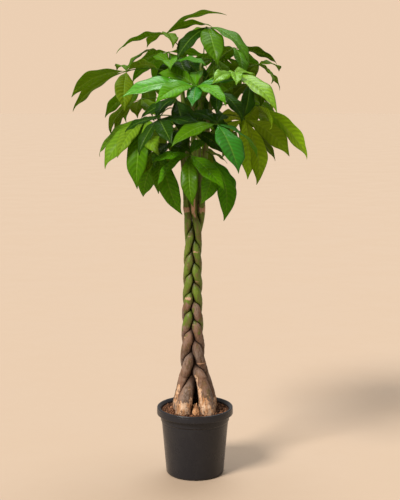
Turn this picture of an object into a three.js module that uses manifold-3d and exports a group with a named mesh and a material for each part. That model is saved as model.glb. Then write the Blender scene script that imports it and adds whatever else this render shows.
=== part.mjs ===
// A potted money tree: five young trunks braided round each other in a black nursery pot,
// with a crown of palmate leaves. Millimetres, +Z up, origin at the centre of the pot's base.
import * as THREE from 'three';
import { mergeVertices } from 'three/addons/utils/BufferGeometryUtils.js';
import Module from 'manifold-3d';

const wasm = await Module();
wasm.setup();

// ---------------------------------------------------------------- driving dimensions

const RUNNING_GAP = 0.3;

const POT = {
  height: 244,
  rimRadius: 136,
  rimDepth: 26,
  collarRadius: 122.5,
  collarDepth: 24,
  bodyTopRadius: 119,
  baseRadius: 103,
  baseFillet: 5,
  wall: 2.6,
  floor: 3,
  ringWidth: 12,
  recess: 4,
  padRadius: 60,
  lip: 2,
  notches: 8,
  notchWidth: 26,
  notchHeight: 3.5,
  sides: 32,
};

const SOIL = {
  level: 231,
  lumps: 2.6,
  rings: 3,
  rootDepth: 70,
};
const HOLE_SIDES = 12;

// Heights at which a stem coming from the left tops out on the centre line of the braid's front.
// From one of them to the next the braid turns by a fifth of its full pattern.
const CROSSINGS = [244, 359, 454, 533, 601, 666, 733, 807, 892, 994];
const FIRST_TURN = -1;
const TURN = 2 * Math.PI / 5;

// [height, value] pairs that the braid follows in straight steps.
const STEM_RADIUS = [[0, 24], [231, 27], [258, 28.5], [295, 25], [335, 21.5], [375, 19.5], [450, 18.5],
  [550, 17], [650, 15.5], [800, 14.2], [880, 12.5], [950, 11], [1100, 9.5], [1300, 8], [1500, 6.5]];
const BRAID_HALF_WIDTH = [[330, 33], [400, 28], [450, 24], [550, 21], [630, 19.3], [720, 18.5],
  [810, 17.5], [860, 17.5], [920, 24]];
const BRAID_AXIS = [[231, 2], [400, -6], [560, -9], [800, -7], [950, -2], [1000, 0]];
const BRAID_DEPTH_SHARE = 0.9;
const BRAID_FOOT = [235, 400];
const BRAID_TOP = [890, 965];

// Where each stem stands in the soil, where it leaves the braid and where its shoot ends.
const STEMS = [
  { name: 'stem_front', foot: [-40, -46], leaves: [-5, -15], tip: [-5, -52, 1335] },
  { name: 'stem_back_left', foot: [51, 17], leaves: [-15, 19], tip: [-52, 48, 1425] },
  { name: 'stem_left', foot: [45, -48], leaves: [-29, -8], tip: [-66, -24, 1310] },
  { name: 'stem_back_right', foot: [-3, 62], leaves: [10, 19], tip: [24, 56, 1455] },
  { name: 'stem_right', foot: [-50, 9], leaves: [25, 0], tip: [64, 2, 1370] },
];
const STEM_GAP = 1.7;
const PRESS_LEVELS = [-1, -0.75, -0.5, -0.25, 0, 0.25, 0.5, 0.75, 1];
const STEM_SIDES = 8;
const BRAID_STEP = 21;
const SHOOT_STEP = 110;
const ROOT_ROUNDING = 12;
const BUD_HEIGHT = 5;

const STUB = { place: [3, -56], radius: 12.5, height: 40, sunk: 18 };

// A petiole's radius along its length: it tapers to a small seat on the stem and swells just above it.
const PETIOLE_RADIUS = [[0, 1], [0.04, 2.9], [0.3, 2.3], [0.64, 2.2], [1, 2.2]];
const PETIOLE = { thickest: 2.3, seatGap: 0.55, bow: 20, steepest: 50, reach: 0.36, sides: 4 };
const BLADE = { thickness: 0.9, widthShare: 0.335, fold: 16, arch: 0.16, bend: 48, wave: 3.2 };
const LONG_STATIONS = [0.08, 0.3, 0.56, 0.82];
const SHORT_STATIONS = [0.09, 0.38, 0.74];
const LONG_LEAFLET = 236;
const OUTWARD_LEAN = 0.55;
const STALK_SHARE = 0.06;
const HUB_RADIUS = 5;

// Each leaf: the stem it grows from and how high, where its leaflets meet, and the bearing, dip and
// length of every leaflet, with its width as a share of the length where it is unusual. Bearings run
// anticlockwise from +X, and a dip of 90 hangs straight down. A leaf that doesn't simply face up and
// outward says which way its upper side faces.
const LEAVES = [
  { name: 'leaf_top', from: [3, 1440], hub: [40, -10, 1570], faces: [0.1, -0.5, 1],
    leaflets: [[-81, 42, 195, 0.42], [-34, 36, 235], [-138, 37, 180], [138, 33, 185], [80, 30, 170]] },
  { name: 'leaf_top_left', from: [3, 1412], hub: [-100, 20, 1548], faces: [0, 0.42, 1],
    leaflets: [[-150, 19, 200], [115, 13, 165], [-72, 24, 150], [16, -18, 230], [-28, -8, 180]] },
  { name: 'leaf_front_gloss', from: [0, 1318], hub: [5, -230, 1371], faces: [-0.1, -0.6, 1],
    leaflets: [[-163, 8, 245], [-130, 14, 200], [140, -17, 165], [88, -20, 135], [18, -4, 170],
      [-52, 20, 165], [-92, 17, 130]] },
  { name: 'leaf_right_lime', from: [0, 1292], hub: [125, -150, 1412], faces: [0.1, -0.7, 1],
    leaflets: [[-44, 30, 235], [-124, 10, 150], [-85, 30, 150], [60, 5, 150], [126, 13, 150]] },
  { name: 'leaf_left_reach', from: [1, 1408], hub: [-231, -30, 1423], faces: [0.1, 0.32, 1],
    leaflets: [[-153, 34, 245], [162, 20, 230], [-95, 45, 185], [113, -6, 120], [48, -28, 165],
      [-41, -2, 150]] },
  { name: 'leaf_front_ribbed', from: [0, 1238], hub: [72, -260, 1252],
    leaflets: [[-61, 50, 195, 0.46], [-145, 19, 190], [35, 32, 190], [140, -15, 120], [75, -12, 120]] },
  { name: 'leaf_front_low', from: [0, 1165], hub: [-16, -190, 1151],
    leaflets: [[-92, 62, 185], [-47, 36, 185], [150, 43, 175], [63, -19, 120], [-160, 10, 130]] },
  { name: 'leaf_left_low', from: [2, 1270], hub: [-161, -60, 1263], faces: [-0.4, -0.7, 0.9],
    leaflets: [[159, 35, 230], [-165, 45, 225], [-130, 42, 185], [-105, 66, 250], [-80, 35, 190],
      [110, 30, 180]] },
  { name: 'leaf_right_reach', from: [4, 1296], hub: [222, 90, 1305], faces: [0.3, 0.8, 0.9],
    leaflets: [[-19, 48, 262], [-70, 33, 150], [60, 40, 190], [110, 30, 180]] },
  { name: 'leaf_right_mid', from: [4, 1268], hub: [172, 40, 1261], faces: [0.2, 0.8, 1],
    leaflets: [[23, 35, 225], [-60, 65, 240], [75, 70, 230], [124, 6, 160], [170, 30, 150]] },
  { name: 'leaf_left_front', from: [2, 1296], hub: [-116, -200, 1267],
    leaflets: [[-32, 8, 180], [-73, 28, 165], [108, 7, 110], [-125, 45, 150], [165, 20, 130]] },
  { name: 'leaf_top_front', from: [0, 1270], hub: [-78, -120, 1442],
    leaflets: [[-44, 2, 165], [121, -13, 130], [-68, 22, 150], [60, -10, 140]] },
  { name: 'leaf_right_top', from: [4, 1354], hub: [218, 60, 1448],
    leaflets: [[54, 8, 165], [-71, 24, 150], [-12, 48, 120], [110, 20, 160], [150, 15, 140]] },
  { name: 'leaf_top_right', from: [3, 1384], hub: [137, 120, 1506],
    leaflets: [[111, 20, 150], [53, 37, 190], [-78, 40, 175], [-20, 35, 170], [160, 25, 150]] },
  { name: 'leaf_left_mid', from: [1, 1310], hub: [-186, 40, 1328],
    leaflets: [[100, 25, 150], [145, 41, 190], [-60, 26, 140], [-170, 50, 150], [60, 20, 150]] },
  { name: 'leaf_left_hanging', from: [2, 1168], hub: [-113, 0, 1156], faces: [-0.4, -1, 0.4],
    leaflets: [[168, 66, 180], [-94, 60, 165], [-20, 80, 235, 0.28], [-150, 44, 150], [100, 45, 170]] },
  { name: 'leaf_right_hanging', from: [4, 1150], hub: [66, -72, 1126],
    leaflets: [[47, 72, 180], [-110, 60, 170], [-50, 72, 215], [110, 60, 150], [15, 68, 170]] },
  { name: 'leaf_left_small', from: [2, 1215], hub: [-82, -110, 1185],
    leaflets: [[-57, 30, 125], [-120, 28, 140], [170, 30, 130], [60, 10, 110]] },
  { name: 'leaf_right_inner', from: [4, 1326], hub: [186, 20, 1381],
    leaflets: [[-104, 49, 150], [66, 31, 150], [-30, 45, 140], [130, 30, 140]] },
  { name: 'leaf_inner_left', from: [2, 1192], hub: [-62, -112, 1330], faces: [-0.1, -0.8, 0.8],
    leaflets: [[-70, 42, 165], [-120, 40, 150], [-20, 35, 160], [170, 35, 140]] },
  { name: 'leaf_inner_front', from: [0, 1200], hub: [28, -128, 1292], faces: [0, -0.8, 0.8],
    leaflets: [[-110, 48, 170], [-55, 45, 165], [-10, 35, 150], [-165, 40, 165], [60, 20, 120]] },
  { name: 'leaf_centre_shade', from: [4, 1228], hub: [65, -70, 1360],
    leaflets: [[-160, 40, 170], [-100, 55, 160], [-38, 42, 165], [50, 34, 180], [110, 30, 150]] },
  { name: 'leaf_inner_low', from: [2, 1140], hub: [-8, -96, 1222], faces: [0, -0.8, 0.7],
    leaflets: [[-125, 52, 150], [-62, 52, 155], [175, 40, 145], [0, 42, 150]] },
  { name: 'leaf_inner_back_left', from: [1, 1325], hub: [-60, 125, 1478], faces: [0, -0.8, 0.6],
    leaflets: [[-75, 62, 165], [-140, 50, 150], [-15, 52, 160]] },
  { name: 'leaf_inner_back_right', from: [3, 1290], hub: [65, 130, 1470], faces: [0, -0.8, 0.6],
    leaflets: [[-95, 62, 165], [-30, 50, 160], [-150, 52, 150]] },
  { name: 'leaf_inner_back', from: [3, 1235], hub: [15, 130, 1365], faces: [0, -0.8, 0.6],
    leaflets: [[-100, 62, 160], [-40, 55, 150], [-160, 52, 150]] },
  // The far side: these spread their leaflets evenly round the way they lean.
  { name: 'leaf_back_high_right', from: [3, 1350], hub: [105, 205, 1480], size: 195 },
  { name: 'leaf_back_high_left', from: [1, 1380], hub: [-95, 215, 1495], size: 190 },
  { name: 'leaf_back_mid', from: [3, 1310], hub: [10, 290, 1420], size: 200 },
  { name: 'leaf_back_mid_left', from: [1, 1350], hub: [-180, 215, 1375], size: 200 },
  { name: 'leaf_back_mid_right', from: [3, 1262], hub: [175, 235, 1350], size: 195 },
  { name: 'leaf_back_low_left', from: [1, 1262], hub: [-150, 170, 1225], size: 195 },
  { name: 'leaf_back_low', from: [3, 1215], hub: [15, 275, 1265], size: 200 },
  { name: 'leaf_back_low_right', from: [4, 1205], hub: [150, 175, 1215], size: 190 },
  { name: 'leaf_back_bottom', from: [1, 1190], hub: [-10, 165, 1150], size: 175 },
];
const SPREAD = [0, 52, -52, 106, -106];

// How a leaflet or a petiole gives way to what already grows there.
const CLEARANCE = 8;
const TUBE_CLEARANCE = 5.5;
const BEND_SIZES = [5, 10, 16, 24, 32];
const BEND_DIRECTIONS = 8;
const SHRINKS = [1, 0.86, 0.72];
const PETIOLE_BOWS = [0, 14, -14, 28, -28, 44, -44];
const SAMPLES = { along: 18, across: 7, petiole: 32 };
const HUB_SHARE = 0.36;
const SEED = 20415;

// ---------------------------------------------------------------- small helpers

const radians = (degrees) => degrees * Math.PI / 180;
const mix = (a, b, t) => a + (b - a) * t;
const vec = (x, y, z) => new THREE.Vector3(x, y, z);

function smooth(from, to, value) {
  const t = Math.min(1, Math.max(0, (value - from) / (to - from)));
  return t * t * (3 - 2 * t);
}

function lookUp(pairs, at) {
  if (at <= pairs[0][0]) return pairs[0][1];
  for (let i = 1; i < pairs.length; i += 1) {
    const [start, before] = pairs[i - 1];
    const [end, after] = pairs[i];
    if (at <= end) return mix(before, after, (at - start) / (end - start));
  }
  return pairs[pairs.length - 1][1];
}

// A small generator of repeatable numbers from 0 to 1.
function makeDraw(seed) {
  let state = seed;
  return () => {
    state = (Math.imul(1664525, state) + 1013904223) >>> 0;
    return state / 4294967296;
  };
}

function heading(bearing, dip) {
  const level = Math.cos(radians(dip));
  const way = radians(bearing);
  return vec(level * Math.cos(way), level * Math.sin(way), -Math.sin(radians(dip)));
}

function meshFrom(positions, triangles) {
  const geometry = new THREE.BufferGeometry();
  geometry.setAttribute('position', new THREE.Float32BufferAttribute(positions, 3));
  geometry.setIndex(triangles);
  return geometry;
}

function toSolid(geometry) {
  const bare = geometry.clone();
  bare.deleteAttribute('normal');
  bare.deleteAttribute('uv');
  const merged = mergeVertices(bare, 1e-4);
  const vertProperties = new Float32Array(merged.attributes.position.array);
  const triVerts = new Uint32Array(merged.index.array);
  return new wasm.Manifold(new wasm.Mesh({ numProp: 3, vertProperties, triVerts }));
}

function fromSolid(solid) {
  const mesh = solid.getMesh();
  return meshFrom(Array.from(mesh.vertProperties), Array.from(mesh.triVerts));
}

// Joins rings of equal size into one closed skin, with a flat fan over each end.
function skinRings(rings) {
  const sides = rings[0].length;
  const positions = rings.flat().flatMap((point) => [point.x, point.y, point.z]);
  const triangles = [];
  for (let r = 0; r + 1 < rings.length; r += 1) {
    for (let k = 0; k < sides; k += 1) {
      const a = r * sides + k;
      const b = r * sides + (k + 1) % sides;
      triangles.push(a, b, b + sides, a, b + sides, a + sides);
    }
  }
  const last = (rings.length - 1) * sides;
  for (let k = 1; k + 1 < sides; k += 1) {
    triangles.push(0, k + 1, k);
    triangles.push(last, last + k, last + k + 1);
  }
  return meshFrom(positions, triangles);
}

// ---------------------------------------------------------------- pot and soil

// Inside radius of the pot's wall at a height.
function potInside(height) {
  const shoulder = POT.height - POT.rimDepth - POT.collarDepth;
  if (height >= shoulder) return POT.collarRadius - POT.wall;
  return mix(POT.baseRadius, POT.bodyTopRadius, height / shoulder) - POT.wall;
}

function potShell() {
  const collarTop = POT.height - POT.rimDepth;
  const shoulder = collarTop - POT.collarDepth;
  const lip = POT.lip;
  const outline = [
    [0, 0],
    [POT.padRadius, 0],
    [POT.padRadius + POT.recess, POT.recess],
    [POT.baseRadius - POT.ringWidth - POT.recess, POT.recess],
    [POT.baseRadius - POT.ringWidth, 0],
    [POT.baseRadius - POT.baseFillet, 0],
    [POT.baseRadius, POT.baseFillet],
    [POT.bodyTopRadius, shoulder],
    [POT.collarRadius, shoulder + lip],
    [POT.collarRadius, collarTop],
    [POT.rimRadius - lip, collarTop],
    [POT.rimRadius, collarTop + lip],
    [POT.rimRadius, POT.height - lip],
    [POT.rimRadius - lip, POT.height],
    [POT.rimRadius - 3 * POT.wall, POT.height],
    [POT.collarRadius - POT.wall, POT.height - 3 * POT.wall],
    [POT.collarRadius - POT.wall, shoulder],
    [potInside(shoulder - lip), shoulder - lip],
    [potInside(POT.recess + POT.floor), POT.recess + POT.floor],
    [0, POT.recess + POT.floor],
  ];
  const points = outline.map(([radius, height]) => new THREE.Vector2(radius, height));
  const shell = new THREE.LatheGeometry(points, POT.sides);
  return shell.rotateX(Math.PI / 2);
}

// The drainage notches cut through the foot of the wall and its standing ring.
function pot() {
  let solid = toSolid(potShell());
  for (let i = 0; i < POT.notches; i += 1) {
    const depth = POT.ringWidth + 2 * POT.recess;
    const notch = new THREE.BoxGeometry(depth, POT.notchWidth, 2 * POT.notchHeight);
    notch.translate(POT.baseRadius - POT.ringWidth / 2 + POT.recess, 0, 0);
    notch.rotateZ((i + 0.25) * 2 * Math.PI / POT.notches - Math.PI / 2);
    solid = solid.subtract(toSolid(notch));
  }
  return fromSolid(solid);
}

function soilBody() {
  const draw = makeDraw(SEED + 1);
  const top = [];
  const edge = potInside(SOIL.level) - RUNNING_GAP;
  for (let ring = 0; ring <= SOIL.rings; ring += 1) {
    const row = [];
    for (let k = 0; k < POT.sides; k += 1) {
      const angle = 2 * Math.PI * (k + 0.5 * ((SOIL.rings - ring) % 2)) / POT.sides;
      const radius = edge * Math.sqrt((ring + 0.35) / (SOIL.rings + 0.35));
      const height = SOIL.level + SOIL.lumps * (2 * draw() - 1);
      row.push(vec(radius * Math.cos(angle), radius * Math.sin(angle), height));
    }
    top.push(row);
  }
  const shoulder = POT.height - POT.rimDepth - POT.collarDepth;
  const wallRow = (height) => top[SOIL.rings].map((point) => {
    const scale = (potInside(height) - RUNNING_GAP) / edge;
    return vec(point.x * scale, point.y * scale, height);
  });
  const floor = POT.recess + POT.floor + RUNNING_GAP;
  const rings = [wallRow(floor), wallRow(shoulder - POT.lip), wallRow(shoulder), ...top.reverse()];
  return skinRings(rings);
}

function plainHole(x, y, radius, bottom) {
  const height = POT.height - bottom;
  const hole = new THREE.CylinderGeometry(radius, radius, height, HOLE_SIDES);
  return hole.rotateX(Math.PI / 2).translate(x, y, bottom + height / 2);
}

function soil() {
  let solid = toSolid(soilBody());
  const bottom = SOIL.level - SOIL.rootDepth - RUNNING_GAP;
  const reach = 1 / Math.cos(Math.PI / HOLE_SIDES);
  for (const stem of STEMS) {
    const radius = (lookUp(STEM_RADIUS, SOIL.level) + RUNNING_GAP) * reach;
    solid = solid.subtract(toSolid(plainHole(stem.foot[0], stem.foot[1], radius, bottom)));
  }
  const stubHole = (STUB.radius + RUNNING_GAP) * reach;
  const stubBottom = SOIL.level - STUB.sunk - RUNNING_GAP;
  solid = solid.subtract(toSolid(plainHole(STUB.place[0], STUB.place[1], stubHole, stubBottom)));
  return fromSolid(solid);
}

// ---------------------------------------------------------------- stems

// How far the braid has turned at a height.
function braidTurn(height) {
  const pairs = CROSSINGS.map((crossing, i) => [crossing, (FIRST_TURN + i) * TURN]);
  return lookUp(pairs, height);
}

// A stem's place in the braid: it swings from side to side, comes inward over the front or the back
// and goes outward behind the others, so that five of them make a figure-of-eight plait.
function braidPlace(index, height) {
  const angle = braidTurn(Math.max(height, CROSSINGS[1])) + index * TURN;
  const half = lookUp(BRAID_HALF_WIDTH, height);
  const axis = lookUp(BRAID_AXIS, height);
  return [axis + half * Math.sin(angle), half * BRAID_DEPTH_SHARE * Math.sin(2 * angle)];
}

function shootPlace(index, height) {
  const { leaves, tip } = STEMS[index];
  const t = Math.max(0, (height - BRAID_TOP[1]) / (tip[2] - BRAID_TOP[1]));
  const ease = 0.35 * t + 0.65 * t * t;
  return [mix(leaves[0], tip[0], ease), mix(leaves[1], tip[1], ease)];
}

function stemCentre(index, height) {
  const foot = STEMS[index].foot;
  const braid = braidPlace(index, height);
  const shoot = shootPlace(index, height);
  const braided = smooth(BRAID_FOOT[0], BRAID_FOOT[1], height);
  const loose = smooth(BRAID_TOP[0], BRAID_TOP[1], height);
  const x = mix(mix(foot[0], braid[0], braided), shoot[0], loose);
  const y = mix(mix(foot[1], braid[1], braided), shoot[1], loose);
  return [x, y];
}

// Where stems press together, each ends at the line halfway to its neighbour. Since the skin runs
// straight from one level to the next, the neighbours just above and below count too.
function pressedReach(index, height, angle) {
  let reach = Infinity;
  for (const share of PRESS_LEVELS) {
    const level = height + share * BRAID_STEP;
    const [x, y] = stemCentre(index, level);
    STEMS.forEach((stem, other) => {
      if (other === index || level > stem.tip[2]) return;
      const [xOther, yOther] = stemCentre(other, level);
      const apart = Math.hypot(xOther - x, yOther - y);
      const facing = (Math.cos(angle) * (xOther - x) + Math.sin(angle) * (yOther - y)) / apart;
      if (facing > 0.05) reach = Math.min(reach, (apart - STEM_GAP) / 2 / facing);
    });
  }
  return reach;
}

// How far a stem reaches from its centre line in one level direction. A leaning round stem has an oval
// level section.
function stemReach(index, height, angle) {
  const [x, y] = stemCentre(index, height);
  const [xAbove, yAbove] = stemCentre(index, height + 1);
  const lean = Math.hypot(xAbove - x, yAbove - y);
  const along = Math.cos(angle) * (xAbove - x) + Math.sin(angle) * (yAbove - y);
  const oval = 1 / Math.sqrt(1 - along * along / (1 + lean * lean));
  return Math.min(lookUp(STEM_RADIUS, height) * oval, pressedReach(index, height, angle));
}

function stemSection(index, height, scale) {
  const [x, y] = stemCentre(index, height);
  const section = [];
  for (let k = 0; k < STEM_SIDES; k += 1) {
    const angle = 2 * Math.PI * k / STEM_SIDES;
    const reach = scale * stemReach(index, height, angle);
    section.push(vec(x + reach * Math.cos(angle), y + reach * Math.sin(angle), height));
  }
  return section;
}

function stemHeights(index) {
  const heights = [SOIL.level];
  const braidSteps = Math.round((BRAID_TOP[1] - SOIL.level) / BRAID_STEP);
  for (let i = 1; i <= braidSteps; i += 1) {
    heights.push(mix(SOIL.level, BRAID_TOP[1], i / braidSteps));
  }
  const end = STEMS[index].tip[2];
  const shootSteps = Math.round((end - BRAID_TOP[1]) / SHOOT_STEP);
  for (let i = 1; i <= shootSteps; i += 1) {
    heights.push(mix(BRAID_TOP[1], end, i / shootSteps));
  }
  return heights;
}

// The foot runs straight down into its hole and rounds off below, and the shoot ends in a blunt bud.
function stem(index) {
  const end = STEMS[index].tip[2];
  const raised = (height, from, scale) => stemSection(index, from, scale)
    .map((point) => vec(point.x, point.y, height));
  const bottom = SOIL.level - SOIL.rootDepth;
  const rings = [
    raised(bottom, SOIL.level, 0.55),
    raised(bottom + ROOT_ROUNDING, SOIL.level, 0.98),
    ...stemHeights(index).map((height) => stemSection(index, height, 1)),
    raised(end + BUD_HEIGHT, end, 0.45),
  ];
  return skinRings(rings);
}

function driedStub() {
  const { radius, height, sunk } = STUB;
  const outline = [[0, -sunk], [radius * 0.6, -sunk], [radius * 0.95, -sunk / 2], [radius * 0.97, 0],
    [radius, height * 0.3], [radius * 0.8, height * 0.55], [radius * 0.45, height * 0.75],
    [radius * 0.35, height * 0.95], [0, height]];
  const points = outline.map(([r, z]) => new THREE.Vector2(r, z));
  const stub = new THREE.LatheGeometry(points, 9).rotateX(Math.PI / 2);
  return fromSolid(toSolid(stub.translate(STUB.place[0], STUB.place[1], SOIL.level)));
}

// ---------------------------------------------------------------- how a leaf grows

// The face of a stem's straight-sided section in one direction, between the levels of its skin.
function stemFace(index, height, angle) {
  const levels = stemHeights(index);
  const above = Math.max(1, levels.findIndex((level) => level >= height));
  const share = (height - levels[above - 1]) / (levels[above] - levels[above - 1]);
  const lower = stemSection(index, levels[above - 1], 1);
  const upper = stemSection(index, levels[above], 1);
  const ring = lower.map((point, k) => point.clone().lerp(upper[k], share));
  const centre = ring.reduce((sum, point) => sum.add(point), vec(0, 0, 0)).divideScalar(ring.length);
  const way = vec(Math.cos(angle), Math.sin(angle), 0);
  let reach = 0;
  ring.forEach((a, k) => {
    const b = ring[(k + 1) % ring.length];
    const edge = b.clone().sub(a);
    const across = way.x * edge.y - way.y * edge.x;
    const toA = a.clone().sub(centre);
    const distance = (toA.x * edge.y - toA.y * edge.x) / across;
    const place = (toA.x * way.y - toA.y * way.x) / across;
    if (distance > 0 && place >= 0 && place <= 1) reach = distance;
  });
  return centre.addScaledVector(way, reach + PETIOLE.seatGap);
}

function bezier(p, t) {
  const s = 1 - t;
  return vec(0, 0, 0)
    .addScaledVector(p[0], s * s * s)
    .addScaledVector(p[1], 3 * s * s * t)
    .addScaledVector(p[2], 3 * s * t * t)
    .addScaledVector(p[3], t * t * t);
}

// A petiole leaves its stem steeper than the straight line to the hub and arrives flatter.
function petioleCurve(leaf, sideBow) {
  const [index, height] = leaf.from;
  const hub = vec(...leaf.hub);
  const [x, y] = stemCentre(index, height);
  const angle = Math.atan2(hub.y - y, hub.x - x);
  const seat = stemFace(index, height, angle);
  const span = hub.clone().sub(seat);
  const length = span.length();
  const rise = Math.asin(span.z / length);
  const steep = Math.min(rise + radians(PETIOLE.bow), radians(PETIOLE.steepest));
  const flat = rise - radians(PETIOLE.bow);
  const out = vec(Math.cos(angle), Math.sin(angle), 0);
  const side = vec(-Math.sin(angle), Math.cos(angle), 0);
  const start = out.clone().multiplyScalar(Math.cos(steep)).setZ(Math.sin(steep));
  const end = out.clone().multiplyScalar(Math.cos(flat)).setZ(Math.sin(flat));
  const first = seat.clone().addScaledVector(start, PETIOLE.reach * length).addScaledVector(side, sideBow);
  const second = hub.clone().addScaledVector(end, -PETIOLE.reach * length).addScaledVector(side, sideBow);
  return [seat, first, second, hub];
}

// The way a leaf's upper side faces: up and out of the crown, unless the leaf has turned.
function palmNormal(leaf) {
  if (leaf.faces) return vec(...leaf.faces).normalize();
  const outward = vec(leaf.hub[0], leaf.hub[1], 0).normalize();
  return outward.multiplyScalar(OUTWARD_LEAN).setZ(1).normalize();
}

function spreadLeaflets(leaf) {
  const outward = Math.atan2(leaf.hub[1], leaf.hub[0]) * 180 / Math.PI;
  return SPREAD.map((turn) => {
    const facing = Math.cos(radians(turn));
    return [outward + turn, 24 + 18 * facing, leaf.size * (0.84 + 0.16 * facing)];
  });
}

// One leaflet's own frame: an arc of even bend from the hub to the tip.
function leafletFrame(leaf, spec, bend) {
  const [swing, lift, shrink] = bend;
  const chord = heading(spec.bearing + swing, spec.dip + lift);
  const normal = leaf.normal.clone().addScaledVector(chord, -leaf.normal.dot(chord)).normalize();
  const half = radians(spec.curve) / 2;
  const forward = chord.clone().multiplyScalar(Math.cos(half)).addScaledVector(normal, Math.sin(half));
  const upward = normal.clone().multiplyScalar(Math.cos(half)).addScaledVector(chord, -Math.sin(half));
  return {
    hub: vec(...leaf.hub),
    forward,
    upward,
    side: forward.clone().cross(upward),
    length: spec.length * shrink * half / Math.sin(half),
    width: spec.width * shrink,
    curve: 2 * half,
    curl: spec.curl,
    twist: spec.twist,
    phase: spec.phase,
  };
}

// Half the leaflet's width along its length, from 0 to 1: a short stalk, a wedge and a drawn-out tip.
function outline(u) {
  const bladeShare = Math.max(0, (u - STALK_SHARE) / (1 - STALK_SHARE));
  const body = Math.pow(Math.sin(Math.PI * Math.pow(bladeShare, 1.04)), 0.95);
  return body * (1 - 0.5 * smooth(0.74, 1, u));
}

// A point of the blade: u runs from hub to tip, v from one edge (-1) over the midrib to the other (1).
function bladePoint(frame, u, v) {
  const turn = frame.curve * u;
  const radius = frame.length / frame.curve;
  const point = frame.hub.clone()
    .addScaledVector(frame.forward, radius * Math.sin(turn))
    .addScaledVector(frame.upward, -radius * (1 - Math.cos(turn)))
    .addScaledVector(frame.side, frame.curl * frame.length * u * u * u);
  const up = bladeUp(frame, u);
  const across = frame.side.clone().multiplyScalar(Math.cos(frame.twist * u))
    .addScaledVector(bendUp(frame, u), Math.sin(frame.twist * u));
  const half = 0.5 * frame.width * outline(u) + mix(1.8, 0.9, u);
  const fold = radians(BLADE.fold);
  const wave = BLADE.wave * outline(u) * v * Math.abs(v) * Math.sin(6 * Math.PI * u + frame.phase);
  const rise = half * (Math.abs(v) * Math.sin(fold) - v * v * BLADE.arch) + wave;
  return point.addScaledVector(across, v * half * Math.cos(fold)).addScaledVector(up, rise);
}

function bendUp(frame, u) {
  const turn = frame.curve * u;
  return frame.forward.clone().multiplyScalar(Math.sin(turn)).addScaledVector(frame.upward, Math.cos(turn));
}

function bladeUp(frame, u) {
  return bendUp(frame, u).multiplyScalar(Math.cos(frame.twist * u))
    .addScaledVector(frame.side, -Math.sin(frame.twist * u));
}

// ---------------------------------------------------------------- bending clear

function bends() {
  const list = [];
  for (const shrink of SHRINKS) {
    list.push([0, 0, shrink]);
    for (const size of BEND_SIZES) {
      for (let k = 0; k < BEND_DIRECTIONS; k += 1) {
        const way = 2 * Math.PI * k / BEND_DIRECTIONS;
        list.push([size * Math.cos(way), size * Math.sin(way), shrink]);
      }
    }
  }
  return list;
}

function cloud(points, keep) {
  const middle = points.reduce((sum, point) => sum.add(point), vec(0, 0, 0)).divideScalar(points.length);
  const reach = Math.max(...points.map((point) => point.distanceTo(middle)));
  return { points, middle, reach, ...keep };
}

function bladeCloud(frame, owner) {
  const points = [];
  for (let i = 1; i <= SAMPLES.along; i += 1) {
    for (let j = 0; j < SAMPLES.across; j += 1) {
      points.push(bladePoint(frame, i / SAMPLES.along, 2 * j / (SAMPLES.across - 1) - 1));
    }
  }
  const nearHub = Math.floor(HUB_SHARE * SAMPLES.along) * SAMPLES.across;
  return cloud(points, { owner, nearHub, radius: 0 });
}

function petioleCloud(curve, owner) {
  const points = [];
  for (let i = 1; i <= SAMPLES.petiole; i += 1) points.push(bezier(curve, i / SAMPLES.petiole));
  return cloud(points, { owner, nearHub: 0, radius: PETIOLE.thickest });
}

function stemCloud(index) {
  const points = [];
  const end = STEMS[index].tip[2];
  for (let height = 900; height <= end; height += 10) {
    const [x, y] = stemCentre(index, height);
    points.push(vec(x, y, height));
  }
  return cloud(points, { owner: `stem ${index}`, nearHub: 0, radius: lookUp(STEM_RADIUS, 1100) });
}

// Leaflets of one leaf may lie close near their hub, and a petiole near the stem that it grows from.
function isClear(candidate, others) {
  for (const other of others) {
    const same = other.owner === candidate.owner;
    if (same && other.radius > 0) continue;
    const tube = other.radius + candidate.radius;
    const need = tube > 0 ? tube + TUBE_CLEARANCE : CLEARANCE;
    const apart = candidate.middle.distanceTo(other.middle);
    if (apart > candidate.reach + other.reach + need) continue;
    const first = same ? candidate.nearHub : 0;
    const firstOther = same ? other.nearHub : 0;
    for (let i = first; i < candidate.points.length; i += 1) {
      for (let j = firstOther; j < other.points.length; j += 1) {
        if (candidate.points[i].distanceToSquared(other.points[j]) < need * need) return false;
      }
    }
  }
  return true;
}

function leafletSpecs(leaf, draw) {
  const rows = leaf.leaflets || spreadLeaflets(leaf);
  return rows.map(([bearing, dip, length, share = BLADE.widthShare]) => ({
    bearing,
    dip,
    length,
    width: length * share * (0.9 + 0.25 * draw()),
    curve: BLADE.bend * (0.75 + 0.6 * draw()),
    curl: 0.1 * (2 * draw() - 1),
    twist: 0.5 * (2 * draw() - 1),
    phase: 2 * Math.PI * draw(),
  }));
}

// The least bowed petiole that passes the other stems and petioles.
function growPetiole(leaf, others) {
  const ways = PETIOLE_BOWS.map((bow) => petioleCurve(leaf, bow));
  const apart = others.filter((other) => other.owner !== `stem ${leaf.from[0]}`);
  const clear = ways.find((curve) => isClear(petioleCloud(curve, leaf.name), apart));
  return clear || ways[0];
}

// The least bent way for a leaflet to grow clear. One that finds no room at all is left out.
function growLeaflet(leaf, spec, others) {
  for (const bend of bends()) {
    const frame = leafletFrame(leaf, spec, bend);
    const space = bladeCloud(frame, leaf.name);
    if (isClear(space, others)) {
      others.push(space);
      return [frame];
    }
  }
  return [];
}

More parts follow.
